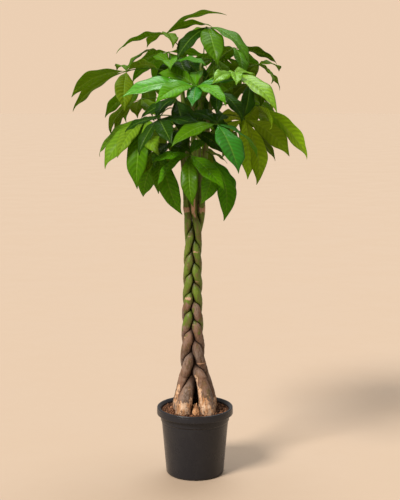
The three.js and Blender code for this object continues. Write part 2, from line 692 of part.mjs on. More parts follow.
function growLeaves() {
  const draw = makeDraw(SEED);
  const others = STEMS.map((spec, index) => stemCloud(index));
  const leaves = LEAVES.map((leaf) => ({ ...leaf, specs: leafletSpecs(leaf, draw) }));
  for (const leaf of leaves) {
    leaf.normal = palmNormal(leaf);
    leaf.petiole = growPetiole(leaf, others);
    others.push(petioleCloud(leaf.petiole, leaf.name));
  }
  for (const leaf of leaves) {
    leaf.frames = leaf.specs.flatMap((spec) => growLeaflet(leaf, spec, others));
  }
  return leaves;
}

// ---------------------------------------------------------------- leaf solids

// A strip between two stations. The upper strips are split the other way round from the lower ones,
// which puts both diagonals over each other: a bent blade this thin would cross itself otherwise.
function bladeQuad(here, ahead, k) {
  const next = (k + 1) % 6;
  const upper = k === 3 || k === 4;
  if (upper) return [here[k], here[next], ahead[k], here[next], ahead[next], ahead[k]];
  return [here[k], here[next], ahead[next], here[k], ahead[next], ahead[k]];
}

// Every station has three points below and three above. The blade starts inside the hub and ends at its
// tip in one upright edge.
function blade(frame) {
  const half = BLADE.thickness / 2;
  const points = [];
  const place = (u, v, lift) => {
    points.push(bladePoint(frame, u, v).addScaledVector(bladeUp(frame, u), lift));
    return points.length - 1;
  };
  const stations = frame.length > LONG_LEAFLET ? LONG_STATIONS : SHORT_STATIONS;
  const rings = stations.map((u) => [place(u, 1, -half), place(u, 0, -half), place(u, -1, -half),
    place(u, -1, half), place(u, 0, half), place(u, 1, half)]);
  const base = [place(0, 0, -half), place(0, 0, half)];
  const tip = [place(1, 0, -half), place(1, 0, half)];
  const triangles = [];
  for (let r = 0; r + 1 < rings.length; r += 1) {
    for (let k = 0; k < 6; k += 1) triangles.push(...bladeQuad(rings[r], rings[r + 1], k));
  }
  closeEnd(triangles, rings[0], base, true);
  closeEnd(triangles, rings[rings.length - 1], tip, false);
  return meshFrom(points.flatMap((point) => [point.x, point.y, point.z]), triangles);
}

function closeEnd(triangles, ring, [below, above], turned) {
  const faces = [[ring[0], ring[1], below], [ring[1], ring[2], below], [ring[2], ring[3], above],
    [ring[2], above, below], [ring[3], ring[4], above], [ring[4], ring[5], above],
    [ring[5], ring[0], below], [ring[5], below, above]];
  for (const [a, b, c] of faces) triangles.push(a, turned ? c : b, turned ? b : c);
}

// A ring of points square to a direction, that starts to one side of it.
function ringAt(centre, way, side, radius, sides) {
  const a = side.clone().addScaledVector(way, -side.dot(way)).normalize();
  const b = way.clone().cross(a);
  const ring = [];
  for (let k = 0; k < sides; k += 1) {
    const angle = 2 * Math.PI * k / sides;
    const point = centre.clone().addScaledVector(a, radius * Math.cos(angle));
    ring.push(point.addScaledVector(b, radius * Math.sin(angle)));
  }
  return ring;
}

// Its seat is upright, to face the stem; every other ring lies square to the curve.
function petiole(curve) {
  const seatFaces = vec(curve[1].x - curve[0].x, curve[1].y - curve[0].y, 0).normalize();
  const side = vec(seatFaces.y, -seatFaces.x, 0);
  const rings = PETIOLE_RADIUS.map(([t, radius]) => {
    const ahead = bezier(curve, Math.min(1, t + 0.01));
    const behind = bezier(curve, Math.max(0, t - 0.01));
    const way = t === 0 ? seatFaces : ahead.sub(behind).normalize();
    return ringAt(bezier(curve, t), way, side, radius, PETIOLE.sides);
  });
  return skinRings(rings);
}

function hub(leaf) {
  const knob = new THREE.OctahedronGeometry(HUB_RADIUS);
  return knob.translate(leaf.hub[0], leaf.hub[1], leaf.hub[2]);
}

function leafSolid(leaf) {
  let solid = toSolid(hub(leaf)).add(toSolid(petiole(leaf.petiole)));
  for (const frame of leaf.frames) solid = solid.add(toSolid(blade(frame)));
  return fromSolid(solid);
}

// ---------------------------------------------------------------- materials and assembly

const MATERIALS = {
  pot: new THREE.MeshStandardMaterial({ color: 0x2c2b2b, roughness: 0.55, metalness: 0 }),
  soil: new THREE.MeshStandardMaterial({ color: 0x3a281c, roughness: 1, metalness: 0 }),
  bark: new THREE.MeshStandardMaterial({ color: 0x7f7a4a, roughness: 0.85, metalness: 0 }),
  dried: new THREE.MeshStandardMaterial({ color: 0xb98a5c, roughness: 0.9, metalness: 0 }),
  leaf: new THREE.MeshStandardMaterial({ color: 0x3f7d22, roughness: 0.45, metalness: 0 }),
};

function named(name, geometry, material) {
  const mesh = new THREE.Mesh(geometry, material.clone());
  mesh.name = name;
  return mesh;
}

const plant = new THREE.Group();
plant.add(named('pot', pot(), MATERIALS.pot));
plant.add(named('soil', soil(), MATERIALS.soil));
STEMS.forEach((spec, index) => plant.add(named(spec.name, stem(index), MATERIALS.bark)));
plant.add(named('dried_stub', driedStub(), MATERIALS.dried));
for (const leaf of growLeaves()) plant.add(named(leaf.name, leafSolid(leaf), MATERIALS.leaf));

export default plant;
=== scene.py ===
"""Potted money tree: five trunks braided in a black nursery pot under a crown of palmate leaves.

The file is laid out as an add-on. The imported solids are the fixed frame, in metres, +Z up, with the
origin under the middle of the pot, and each operator dresses its own solids with a finer piece of the
same form. Settings are metres. Every other length is millimetres until a skin is built.
"""
import math
from types import SimpleNamespace as Named

import bpy
import numpy as np
from bpy.props import FloatProperty, FloatVectorProperty, IntProperty, PointerProperty
from bpy.types import Operator, Panel, PropertyGroup
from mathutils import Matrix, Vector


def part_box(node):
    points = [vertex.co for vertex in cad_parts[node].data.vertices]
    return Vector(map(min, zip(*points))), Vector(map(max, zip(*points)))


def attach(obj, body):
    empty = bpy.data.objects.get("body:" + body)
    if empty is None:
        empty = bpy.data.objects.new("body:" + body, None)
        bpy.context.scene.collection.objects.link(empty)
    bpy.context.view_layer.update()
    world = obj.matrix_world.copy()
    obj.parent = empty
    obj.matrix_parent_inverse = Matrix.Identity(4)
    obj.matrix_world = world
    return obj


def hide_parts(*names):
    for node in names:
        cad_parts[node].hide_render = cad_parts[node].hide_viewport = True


bl_info = {
    "name": "Potted Money Tree",
    "version": (1, 0, 0),
    "blender": (4, 5, 0),
    "location": "View3D > Sidebar > Money Tree",
    "description": "Makes a braided money tree in a nursery pot",
    "category": "Object",
}

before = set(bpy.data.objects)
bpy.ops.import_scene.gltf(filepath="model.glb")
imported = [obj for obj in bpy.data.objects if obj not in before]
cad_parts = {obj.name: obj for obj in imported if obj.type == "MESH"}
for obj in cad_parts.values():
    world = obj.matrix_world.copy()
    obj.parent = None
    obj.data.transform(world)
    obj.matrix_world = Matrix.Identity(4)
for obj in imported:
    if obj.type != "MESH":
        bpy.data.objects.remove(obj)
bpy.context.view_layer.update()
MM = 0.001
SEED = 20415

# ------------------------------------------------------------------ the plant's own sizes

RUNNING_GAP = 0.3
POT = Named(height=244, rim_radius=136, rim_depth=26, rim_draft=0.4, band_depth=9, band_inset=0.9,
            band_step=1, collar_radius=122.5, collar_depth=24, crease_in=1.4, crease_down=1.2,
            bead_drop=8, bead_half_height=1.4, bead_rise=0.7, body_top_radius=119, base_radius=103,
            base_fillet=5, wall=2.6, floor=3, ring_width=12, recess=4, pad_radius=60, lip=2, notches=8,
            notch_width=26, notch_height=3.5, notch_edge=1.5)
COLLAR_TOP = POT.height - POT.rim_depth
SHOULDER = COLLAR_TOP - POT.collar_depth
FLOOR_TOP = POT.recess + POT.floor
SOIL_LEVEL = 231
# Layers of lumps on top of the mix: how high each stands, its size and its salt.
SOIL_LUMPS = [(1.3, 22, 1), (0.9, 9, 2), (0.6, 4.5, 3)]
# The bed: its facets, how far it lies below its level, and its innermost ring as a share of the edge.
SOIL = Named(sides=192, rings=60, settled=0.5, middle=0.01)
# Loose crumbs: how far they stay off the wall, a trunk and the dried root, the spread of their sizes,
# their least and greatest stretch, their dents, how freely they tumble, how far they lie flat, how high
# they sit, and their tones: the darkest, the range above it, and how rare the pale ones are.
CRUMB = Named(off_wall=4, off_trunk=1.5, off_stub=1, sizes=(-0.25, 0.42), least=(0.8, 0.6, 0.35),
              most=(1.7, 1.1, 0.8), dents=(0.75, 1.2), tumble=(1, 1, 0.45), flat=(0, 0, 1.6), sit=0.25,
              darkest=0.04, tones=0.9, rarity=2.8)

# Heights at which a trunk coming from the left tops out in front. From one to the next the braid turns
# by a fifth of its full pattern.
CROSSINGS = [244, 359, 454, 533, 601, 666, 733, 807, 892, 994]
FIRST_TURN = -1
TURN = 2 * math.pi / 5
# Height and value, which the braid follows in straight steps.
STEM_RADIUS = [(0, 24), (231, 27), (258, 28.5), (295, 25), (335, 21.5), (375, 19.5), (450, 18.5),
               (550, 17), (650, 15.5), (800, 14.2), (880, 12.5), (950, 11), (1100, 9.5), (1300, 8),
               (1500, 6.5)]
BRAID_HALF_WIDTH = [(330, 33), (400, 28), (450, 24), (550, 21), (630, 19.3), (720, 18.5),
                    (810, 17.5), (860, 17.5), (920, 24)]
BRAID_AXIS = [(231, 2), (400, -6), (560, -9), (800, -7), (950, -2), (1000, 0)]
BRAID_DEPTH_SHARE = 0.9
BRAID_FOOT = (235, 400)
BRAID_TOP = (890, 965)
BRAID_STEP = 21
SHOOT_STEP = 110
STEM_SIDES = 8
STEM_GAP = 1.7
PRESS_LEVELS = (-1, -0.75, -0.5, -0.25, 0, 0.25, 0.5, 0.75, 1)
# Each trunk's foot, the place where it leaves the braid, and the end of its shoot.
STEMS = [
    ("front", (-40, -46), (-5, -15), (-5, -52, 1335)),
    ("back_left", (51, 17), (-15, 19), (-52, 48, 1425)),
    ("left", (45, -48), (-29, -8), (-66, -24, 1310)),
    ("back_right", (-3, 62), (10, 19), (24, 56, 1455)),
    ("right", (-50, 9), (25, 0), (64, 2, 1370)),
]
STUB = Named(place=(3, -56), radius=12.5, height=40, sunk=18, lean=2.5, rings=60, sides=40, strips=26,
             strip_points=16, strip_sides=6)
# Height of the dried root's outline as a share of its own height above the mix, and width as a share.
STUB_OUTLINE = [(0, 0.98), (0.2, 1.0), (0.36, 0.82), (0.5, 0.5), (0.62, 0.32), (0.8, 0.24), (0.94, 0.16),
                (1, 0.05)]

PETIOLE = Named(thickest=2.3, seat_gap=0.55, bow=20, steepest=50, reach=0.36, radius=(2.1, 1.75),
                swelling=(1.5, 1.1), swelling_length=9, sunk=1.4, rings=40, sides=12)
KNUCKLE = Named(radius=4.1, flatness=0.8, rings=9, sides=16, pole=0.12)
BLADE = Named(width_share=0.335, fold=16, arch=0.16, bend=48, wave=3.2, waves=3, wedge=1.04,
              fullness=0.95, tip_from=0.74, tip_loss=0.5, hook_from=0.86, least_half=(1.8, 0.9))
# The least share and the range of a drawn width and bend, and the most curl and twist either way.
VARIETY = Named(width=(0.9, 0.25), bend=(0.75, 0.6), curl=0.1, twist=0.5)
OUTWARD_LEAN = 0.55
STALK_SHARE = 0.06
CLEARANCE = 8
TUBE_CLEARANCE = 5.5
BEND_SIZES = (5, 10, 16, 24, 32)
BEND_DIRECTIONS = 8
SHRINKS = (1, 0.86, 0.72)
PETIOLE_BOWS = (0, 14, -14, 28, -28, 44, -44)
# Heights of a shoot's samples, and the height that its one radius is taken from.
SHOOT = Named(start=900, step=10, middle=1100)
SAMPLES = Named(along=18, across=7, petiole=32)
HUB_SHARE = 0.36
SPREAD = (0, 52, -52, 106, -106)
# Dip and size of a spread leaflet: the middle value, and how much it gains by facing outward.
SPREAD_DIP = (24, 18)
SPREAD_SIZE = (0.84, 0.16)
# How much waxy shine each tone of leaflet has.
GLOSS = {"lime": 0.7, "bright": 1.0, "spring": 0.35, "rich": 0.6, "fresh": 0.16, "deep_shade": 0.12,
         "olive": 0.08, "moss": 0.1, "pale": 0.06}

# Each leaf: its trunk and height, its hub, the way its upper side faces where that isn't simply up
# and out, its tone, and the bearing, dip and length of every leaflet, or one size to spread by rule.
LEAVES = [
    ("top", (3, 1440), (40, -10, 1570), (0.1, -0.5, 1), "fresh",
     [(-81, 42, 195, 0.42), (-34, 36, 235), (-138, 37, 180), (138, 33, 185), (80, 30, 170)]),
    ("top_left", (3, 1412), (-100, 20, 1548), (0, 0.42, 1), "olive",
     [(-150, 19, 200), (115, 13, 165), (-72, 24, 150), (16, -18, 230), (-28, -8, 180)]),
    ("front_gloss", (0, 1318), (5, -230, 1371), (-0.1, -0.6, 1), "bright",
     [(-163, 8, 245), (-130, 14, 200), (140, -17, 165), (88, -20, 135), (18, -4, 170),
      (-52, 20, 165), (-92, 17, 130)]),
    ("right_lime", (0, 1292), (125, -150, 1412), (0.1, -0.7, 1), "lime",
     [(-44, 30, 235), (-124, 10, 150), (-85, 30, 150), (60, 5, 150), (126, 13, 150)]),
    ("left_reach", (1, 1408), (-231, -30, 1423), (0.1, 0.32, 1), "olive",
     [(-153, 34, 245), (162, 20, 230), (-95, 45, 185), (113, -6, 120), (48, -28, 165),
      (-41, -2, 150)]),
    ("front_ribbed", (0, 1238), (72, -260, 1252), None, "rich",
     [(-61, 50, 195, 0.46), (-145, 19, 190), (35, 32, 190), (140, -15, 120), (75, -12, 120)]),
    ("front_low", (0, 1165), (-16, -190, 1151), None, "fresh",
     [(-92, 62, 185), (-47, 36, 185), (150, 43, 175), (63, -19, 120), (-160, 10, 130)]),
    ("left_low", (2, 1270), (-161, -60, 1263), (-0.4, -0.7, 0.9), "moss",
     [(159, 35, 230), (-165, 45, 225), (-130, 42, 185), (-105, 66, 250), (-80, 35, 190),
      (110, 30, 180)]),
    ("right_reach", (4, 1296), (222, 90, 1305), (0.3, 0.8, 0.9), "pale",
     [(-19, 48, 262), (-70, 33, 150), (60, 40, 190), (110, 30, 180)]),
    ("right_mid", (4, 1268), (172, 40, 1261), (0.2, 0.8, 1), "pale",
     [(23, 35, 225), (-60, 65, 240), (75, 70, 230), (124, 6, 160), (170, 30, 150)]),
    ("left_front", (2, 1296), (-116, -200, 1267), None, "deep_shade",
     [(-32, 8, 180), (-73, 28, 165), (108, 7, 110), (-125, 45, 150), (165, 20, 130)]),
    ("top_front", (0, 1270), (-78, -120, 1442), None, "fresh",
     [(-44, 2, 165), (121, -13, 130), (-68, 22, 150), (60, -10, 140)]),
    ("right_top", (4, 1354), (218, 60, 1448), None, "olive",
     [(54, 8, 165), (-71, 24, 150), (-12, 48, 120), (110, 20, 160), (150, 15, 140)]),
    ("top_right", (3, 1384), (137, 120, 1506), None, "fresh",
     [(111, 20, 150), (53, 37, 190), (-78, 40, 175), (-20, 35, 170), (160, 25, 150)]),
    ("left_mid", (1, 1310), (-186, 40, 1328), None, "olive",
     [(100, 25, 150), (145, 41, 190), (-60, 26, 140), (-170, 50, 150), (60, 20, 150)]),
    ("left_hanging", (2, 1168), (-113, 0, 1156), (-0.4, -1, 0.4), "fresh",
     [(168, 66, 180), (-94, 60, 165), (-20, 80, 235, 0.28), (-150, 44, 150), (100, 45, 170)]),
    ("right_hanging", (4, 1150), (66, -72, 1126), None, "fresh",
     [(47, 72, 180), (-110, 60, 170), (-50, 72, 215), (110, 60, 150), (15, 68, 170)]),
    ("left_small", (2, 1215), (-82, -110, 1185), None, "deep_shade",
     [(-57, 30, 125), (-120, 28, 140), (170, 30, 130), (60, 10, 110)]),
    ("right_inner", (4, 1326), (186, 20, 1381), None, "deep_shade",
     [(-104, 49, 150), (66, 31, 150), (-30, 45, 140), (130, 30, 140)]),
    ("inner_left", (2, 1192), (-62, -112, 1330), (-0.1, -0.8, 0.8), "deep_shade",
     [(-70, 42, 165), (-120, 40, 150), (-20, 35, 160), (170, 35, 140)]),
    ("inner_front", (0, 1200), (28, -128, 1292), (0, -0.8, 0.8), "deep_shade",
     [(-110, 48, 170), (-55, 45, 165), (-10, 35, 150), (-165, 40, 165), (60, 20, 120)]),
    ("centre_shade", (4, 1228), (65, -70, 1360), None, "deep_shade",
     [(-160, 40, 170), (-100, 55, 160), (-38, 42, 165), (50, 34, 180), (110, 30, 150)]),
    ("inner_low", (2, 1140), (-8, -96, 1222), (0, -0.8, 0.7), "deep_shade",
     [(-125, 52, 150), (-62, 52, 155), (175, 40, 145), (0, 42, 150)]),
    ("inner_back_left", (1, 1325), (-60, 125, 1478), (0, -0.8, 0.6), "deep_shade",
     [(-75, 62, 165), (-140, 50, 150), (-15, 52, 160)]),
    ("inner_back_right", (3, 1290), (65, 130, 1470), (0, -0.8, 0.6), "olive",
     [(-95, 62, 165), (-30, 50, 160), (-150, 52, 150)]),
    ("inner_back", (3, 1235), (15, 130, 1365), (0, -0.8, 0.6), "deep_shade",
     [(-100, 62, 160), (-40, 55, 150), (-160, 52, 150)]),
    ("back_high_right", (3, 1350), (105, 205, 1480), None, "fresh", 195),
    ("back_high_left", (1, 1380), (-95, 215, 1495), None, "fresh", 190),
    ("back_mid", (3, 1310), (10, 290, 1420), None, "bright", 200),
    ("back_mid_left", (1, 1350), (-180, 215, 1375), None, "fresh", 200),
    ("back_mid_right", (3, 1262), (175, 235, 1350), None, "fresh", 195),
    ("back_low_left", (1, 1262), (-150, 170, 1225), None, "deep_shade", 195),
    ("back_low", (3, 1215), (15, 275, 1265), None, "fresh", 200),
    ("back_low_right", (4, 1205), (150, 175, 1215), None, "deep_shade", 190),
    ("back_bottom", (1, 1190), (-10, 165, 1150), None, "deep_shade", 175),
]

# Leaflets whose tone isn't their leaf's: the leaf, then each leaflet's place in its own list.
LEAFLET_TONES = {
    "front_gloss": {1: "spring", 2: "fresh", 3: "fresh", 4: "rich", 5: "spring", 6: "rich"},
    "front_ribbed": {1: "fresh", 3: "deep_shade", 4: "deep_shade"},
    "top": {2: "deep_shade", 3: "olive"},
    "left_low": {0: "olive", 3: "fresh"},
    "top_right": {0: "olive", 3: "deep_shade"},
    "right_hanging": {0: "rich", 1: "spring"},
    "left_hanging": {1: "olive", 3: "olive"},
}

# Second colours, which the materials lay over the ones in the settings.
COLOURS = Named(
    dust=(0.028, 0.0275, 0.029), scuff=(0.07, 0.068, 0.066), dry_fibre=(0.30, 0.20, 0.12),
    rust=(0.21, 0.095, 0.048), grey_fibre=(0.30, 0.23, 0.18), bark_crack=(0.035, 0.02, 0.012),
    shaded_green=(0.055, 0.095, 0.007), green_fibre=(0.18, 0.255, 0.035),
    green_fleck=(0.24, 0.16, 0.07), worn_green=(0.13, 0.095, 0.035),
    pale_wood=(0.74, 0.54, 0.38), wood_fibre=(0.80, 0.62, 0.46), stained_wood=(0.26, 0.14, 0.08),
    wood_crack=(0.05, 0.025, 0.015), wood_pit=(0.11, 0.05, 0.028), cork=(0.36, 0.22, 0.14),
    # Painted shade: the bark's fold colour darkens the bark in the folds between the trunks.
    bark_fold=(0.15, 0.10, 0.07), pale_husk=(0.62, 0.36, 0.20), husk_crack=(0.10, 0.05, 0.025),
    # Painted shade: the leaf's fold colour darkens a blade in the folds of its quilting along the side
    # veins.
    leaf_cloud=(0.62, 0.66, 0.5), leaf_speck=(0.55, 0.6, 0.4), leaf_fold=(0.42, 0.5, 0.4),
    dull_leaf=(0.22, 0.34, 0.012), rib_below=(0.30, 0.42, 0.05), leaf_sheen=(0.7, 1.0, 0.35),
    light_through=(0.50, 0.72, 0.01), floor_cloud=(0.428, 0.318, 0.228),
)

# Cloudy patches of every material: their scale, level and spread, and the stretch of those that run
# up and down, which are longer the smaller it is.
PATCHES = Named(
    plastic_dust=(22, 0.62, 0.16), plastic_scuffs=(260, 0.66, 0.05, 0.12),
    plastic_sheen=(14, 0.5, 0.3), plastic_grain=(1400, 0.5, 0.4),
    soil_speckle=(420, 0.55, 0.12), soil_fibres=(150, 0.74, 0.03), soil_grain=(700, 0.5, 0.4),
    bark_stain=(62, 0.5, 0.1, 0.45), bark_fibre=(330, 0.5, 0.2, 0.12),
    bark_crack=(190, 0.64, 0.05, 0.16), bark_fleck=(240, 0.66, 0.05),
    bark_rust=(19, 0.52, 0.12, 0.5), bark_wear=(70, 0.54, 0.06, 0.4),
    pale_wood=(55, 0.5, 0.1, 0.5), wood_pits=(130, 0.6, 0.05),
    husk_layers=(380, 0.5, 0.2, 0.25), husk_cracks=(300, 0.64, 0.06, 0.4),
    leaf_clouds=(28, 0.5, 0.25), leaf_specks=(190, 0.5, 0.25), floor_clouds=(2.2, 0.5, 0.3),
)

# ------------------------------------------------------------------ settings a user would change


def colour_property(name, description, default):
    return FloatVectorProperty(name=name, description=description, default=default, size=3,
                               min=0, max=1, subtype="COLOR")


def length_property(name, description, default):
    return FloatProperty(name=name, description=description, default=default, min=0,
                         subtype="DISTANCE", unit="LENGTH", precision=4)


def share_property(name, description, default):
    return FloatProperty(name=name, description=description, default=default, min=0, max=1,
                         subtype="FACTOR")


def strength_property(name, description, default):
    return FloatProperty(name=name, description=description, default=default, min=0)


def count_property(name, description, default, least):
    return IntProperty(name=name, description=description, default=default, min=least)


class PotSettings(PropertyGroup):
    """The nursery pot"""
    edge_radius: length_property("Edge radius", "Rounding of the rim's and the steps' edges", 0.0019)
    segments: count_property("Segments", "Facets round the pot", 256, 32)
    colour: colour_property("Plastic", "Colour of the moulded plastic", (0.0125, 0.013, 0.017))
    roughness: share_property("Roughness", "Roughness of the plastic", 0.26)


class SoilSettings(PropertyGroup):
    """The potting mix"""
    crumbs: count_property("Crumbs", "Loose crumbs on top of the mix", 1900, 0)
    crumb_size: length_property("Crumb size", "Middle size of a crumb", 0.0055)
    dark: colour_property("Damp peat", "Colour of the damp peat", (0.016, 0.0065, 0.0035))
    light: colour_property("Bark", "Colour of the dry bark crumbs", (0.38, 0.175, 0.09))


class TrunkSettings(PropertyGroup):
    """The braided trunks"""
    step: length_property("Step", "Height between two rings of the skin", 0.003)
    sides: count_property("Sides", "Points round each trunk", 40, 12)
    relief: length_property("Relief", "Depth of the bark's wrinkles", 0.0007)
    bark: colour_property("Bark", "Colour of the old bark", (0.185, 0.138, 0.112))
    bark_dark: colour_property("Damp bark", "Colour of the bark's darker stains", (0.062, 0.030, 0.017))
    peeled: colour_property("Peeled", "Colour where the outer bark has come off", (0.52, 0.235, 0.08))
    green: colour_property("Green bark", "Colour of the young green bark", (0.098, 0.168, 0.007))
    scar: colour_property("Scar", "Colour of the leaf scars", (0.52, 0.31, 0.20))


class LeafSettings(PropertyGroup):
    """The leaves"""
    thickness: length_property("Blade thickness", "Thickness of a leaflet's blade", 0.0007)
    quilt: length_property("Quilting", "Height of the blade's swell between two side veins", 0.0010)
    vein_pairs: count_property("Vein pairs", "Side veins on each half of a leaflet", 13, 4)
    rows: count_property("Rows", "Points along a leaflet", 52, 12)
    lime: colour_property("Lime", "Colour of the youngest leaflets", (0.31, 0.66, 0.03))
    bright: colour_property("Bright", "Colour of the glossy upper leaflets", (0.095, 0.45, 0.022))
    spring: colour_property("Spring", "Colour of young leaflets in full light", (0.14, 0.42, 0.003))
    rich: colour_property("Rich", "Colour of the ribbed front leaflets", (0.045, 0.34, 0.025))
    fresh: colour_property("Fresh", "Colour of grown leaflets", (0.095, 0.31, 0.002))
    # Deep is the darkest green: painted shade for the leaflets inside, behind and under the crown, and the
    # own dark green of a few outer ones.
    deep_shade: colour_property("Deep", "Colour of old leaflets", (0.013, 0.062, 0.0006))
    olive: colour_property("Olive", "Colour of the upper leaflets' dull sides", (0.13, 0.27, 0.004))
    moss: colour_property("Moss", "Colour of the hanging leaflets on the lit side", (0.22, 0.36, 0.015))
    pale: colour_property("Pale", "Colour of leaflets that light shines through", (0.46, 0.70, 0.02))
    vein: colour_property("Vein", "Colour of the midrib", (0.26, 0.46, 0.05))
    stalk: colour_property("Stalk", "Colour of the leaf stalks", (0.10, 0.19, 0.012))
    translucency: share_property("Translucency", "Share of light that passes the blade", 0.38)


class StageSettings(PropertyGroup):
    """Camera, light and floor"""
    camera_place: FloatVectorProperty(name="Camera", description="Place of the camera", size=3,
                                      default=(0.018, -3.7, 1.36), subtype="TRANSLATION",
                                      unit="LENGTH")
    camera_pitch: FloatProperty(name="Pitch", description="How far the camera looks down",
                                default=math.radians(8.5), subtype="ANGLE", unit="ROTATION")
    lens: FloatProperty(name="Lens", description="Focal length in millimetres", default=77.0,
                        min=20, unit="CAMERA")
    floor: colour_property("Floor", "Colour of the floor", (0.456, 0.344, 0.249))
    backdrop: colour_property("Backdrop", "Colour behind the plant", (0.835, 0.626, 0.453))
    surround: colour_property("Surround", "Soft light from all round", (0.37, 0.34, 0.31))
    key_strength: strength_property("Key light", "Strength of the warm main light", 4.15)
    window_strength: strength_property("Window light", "Strength of the second light above", 1.9)


# ------------------------------------------------------------------ numbers and curves


def make_draw(seed):
    """A small generator of repeatable numbers from 0 to 1."""
    state = seed
    while True:
        state = (1664525 * state + 1013904223) & 0xFFFFFFFF
        yield state / 4294967296


def look_up(pairs, at):
    return np.interp(at, [pair[0] for pair in pairs], [pair[1] for pair in pairs])


def smooth(start, end, value):
    t = np.clip((value - start) / (end - start), 0, 1)
    return t * t * (3 - 2 * t)


def mix(a, b, t):
    return a + (b - a) * t


def unit(vector):
    return vector / math.sqrt(float(vector @ vector))


def heading(bearing, dip):
    way, drop = math.radians(bearing), math.radians(dip)
    level = math.cos(drop)
    return np.array([level * math.cos(way), level * math.sin(way), -math.sin(drop)])


def lattice(cell, salt):
    """A repeatable number from 0 to 1 for every whole-numbered cell."""
    mixed = (cell[..., 0] * 374761393 + cell[..., 1] * 668265263 + cell[..., 2] * 2147483647
             + salt * 1274126177) & 0xFFFFFFFF
    mixed = ((mixed ^ (mixed >> 13)) * 1103515245) & 0xFFFFFFFF
    return ((mixed ^ (mixed >> 16)) & 0xFFFFFF) / 0xFFFFFF


def noise(points, size, salt=0):
    """Smooth noise from -1 to 1 at points, with lumps of one size, or one size along each axis."""
    scaled = np.asarray(points, float) / np.asarray(size, float)
    cell = np.floor(scaled).astype(np.int64)
    part = scaled - cell
    part = part * part * (3 - 2 * part)
    total = np.zeros(scaled.shape[:-1])
    for corner in np.ndindex(2, 2, 2):
        weight = np.prod(np.where(np.array(corner) == 1, part, 1 - part), axis=-1)
        total += weight * lattice(cell + np.array(corner), salt)
    return 2 * total - 1


def lumps(points, *layers):
    """Layers of smooth noise added up: how high each stands, its size and its salt."""
    return sum(height * noise(points, size, salt) for height, size, salt in layers)


def bezier(p, t):
    t = np.asarray(t, float)[..., None]
    s = 1 - t
    return s ** 3 * p[0] + 3 * s * s * t * p[1] + 3 * s * t * t * p[2] + t ** 3 * p[3]


def round_angles(sides):
    return 2 * np.pi * np.arange(sides) / sides


def around(x, y, reach, angle, height):
    """Rings of points at a level reach from an axis, whose x and y may change with the height."""
    return np.stack(np.broadcast_arrays(x + reach * np.cos(angle), y + reach * np.sin(angle), height), -1)


# ------------------------------------------------------------------ skins


class Skin:
    """Gathers closed skins into one mesh, with values that ride on every point."""

    def __init__(self, *value_names):
        self.points = []
        self.faces = []
        self.values = {name: [] for name in value_names}
        self.count = 0

    def add(self, points, faces, **values):
        """Adds a skin, with one value for each name or one for each of its points."""
        points = points.reshape(-1, 3)
        self.points.append(points)
        self.faces += [group + self.count for group in faces]
        for name, held in self.values.items():
            value = np.asarray(values[name], float)
            held.append(np.broadcast_to(value, (len(points), value.shape[-1])))
        self.count += len(points)
        return self

    def build(self, name, material):
        """Turns the gathered skins into one object, in metres."""
        points = np.concatenate(self.points) * MM
        corners = np.concatenate([group.ravel() for group in self.faces])
        sizes = np.concatenate([np.full(len(group), group.shape[1]) for group in self.faces])
        mesh = bpy.data.meshes.new(name)
        mesh.vertices.add(len(points))
        mesh.vertices.foreach_set("co", points.astype(np.float32).ravel())
        mesh.loops.add(len(corners))
        mesh.loops.foreach_set("vertex_index", corners.astype(np.int32))
        mesh.polygons.add(len(sizes))
        starts = np.concatenate([[0], np.cumsum(sizes)[:-1]])
        mesh.polygons.foreach_set("loop_start", starts.astype(np.int32))
        mesh.polygons.foreach_set("use_smooth", np.ones(len(sizes), bool))
        mesh.update(calc_edges=True)
        for value_name, held in self.values.items():
            values = np.concatenate(held)
            kind, key = ("FLOAT_VECTOR", "vector") if values.shape[1] == 3 else ("FLOAT_COLOR", "color")
            layer = mesh.attributes.new(value_name, kind, "POINT")
            layer.data.foreach_set(key, values.astype(np.float32).ravel())
        mesh.materials.append(material)
        piece = bpy.data.objects.new(name, mesh)
        bpy.context.scene.collection.objects.link(piece)
        return piece


def round_faces(rings, sides):
    """Four-cornered faces of a tube of rings."""
    row = np.arange(rings - 1)[:, None] * sides
    k = np.arange(sides)[None, :]
    after = (k + 1) % sides
    return np.stack([row + k, row + after, row + after + sides, row + k + sides], -1).reshape(-1, 4)


def cap_faces(first, sides, middle, turned):
    """Three-cornered faces from one ring to a middle point."""
    k = np.arange(sides)
    after = (k + 1) % sides
    a, b = (after, k) if turned else (k, after)
    return np.stack([first + a, first + b, np.full(sides, middle)], -1)


def tube(rings):
    """Points and faces of a closed tube: rings in a (rings, sides, 3) array, and a point at each end."""
    count, sides = rings.shape[:2]
    ends = np.stack([rings[0].mean(0), rings[-1].mean(0)])
    points = np.concatenate([rings.reshape(-1, 3), ends])
    total = count * sides
    faces = [round_faces(count, sides), cap_faces(0, sides, total, True),
             cap_faces(total - sides, sides, total + 1, False)]
    return points, faces


def rings_along(path, radius, sides):
    """Round rings square to a path, each carried on from the one before it without a twist."""
    way = np.gradient(path, axis=0)
    way /= np.linalg.norm(way, axis=1)[:, None]
    side = np.cross(way[0], np.eye(3)[np.argmin(np.abs(way[0]))])
    carried = []
    for ahead in way:
        side = unit(side - ahead * float(side @ ahead))
        carried.append(side)
    a = np.array(carried)
    b = np.cross(way, a)
    angle = round_angles(sides)
    round_way = a[:, None] * np.cos(angle)[None, :, None] + b[:, None] * np.sin(angle)[None, :, None]
    return path[:, None] + round_way * np.asarray(radius)[:, None, None]


def finished(piece, node):
    """A piece of the plant rides on its one body and stands for its solid."""
    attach(piece, "root")
    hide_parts(node)


# ------------------------------------------------------------------ materials

# Sockets of a mix node that colours use: its share and two colours going in, and its result.
MIX_INPUTS = (0, 6, 7)
MIX_OUTPUT = 2
# How a blade's side veins run: how far they slant towards the tip, and how they curve on the way out.
VEIN_SLANT = 1.6
VEIN_CURVE = 1.35


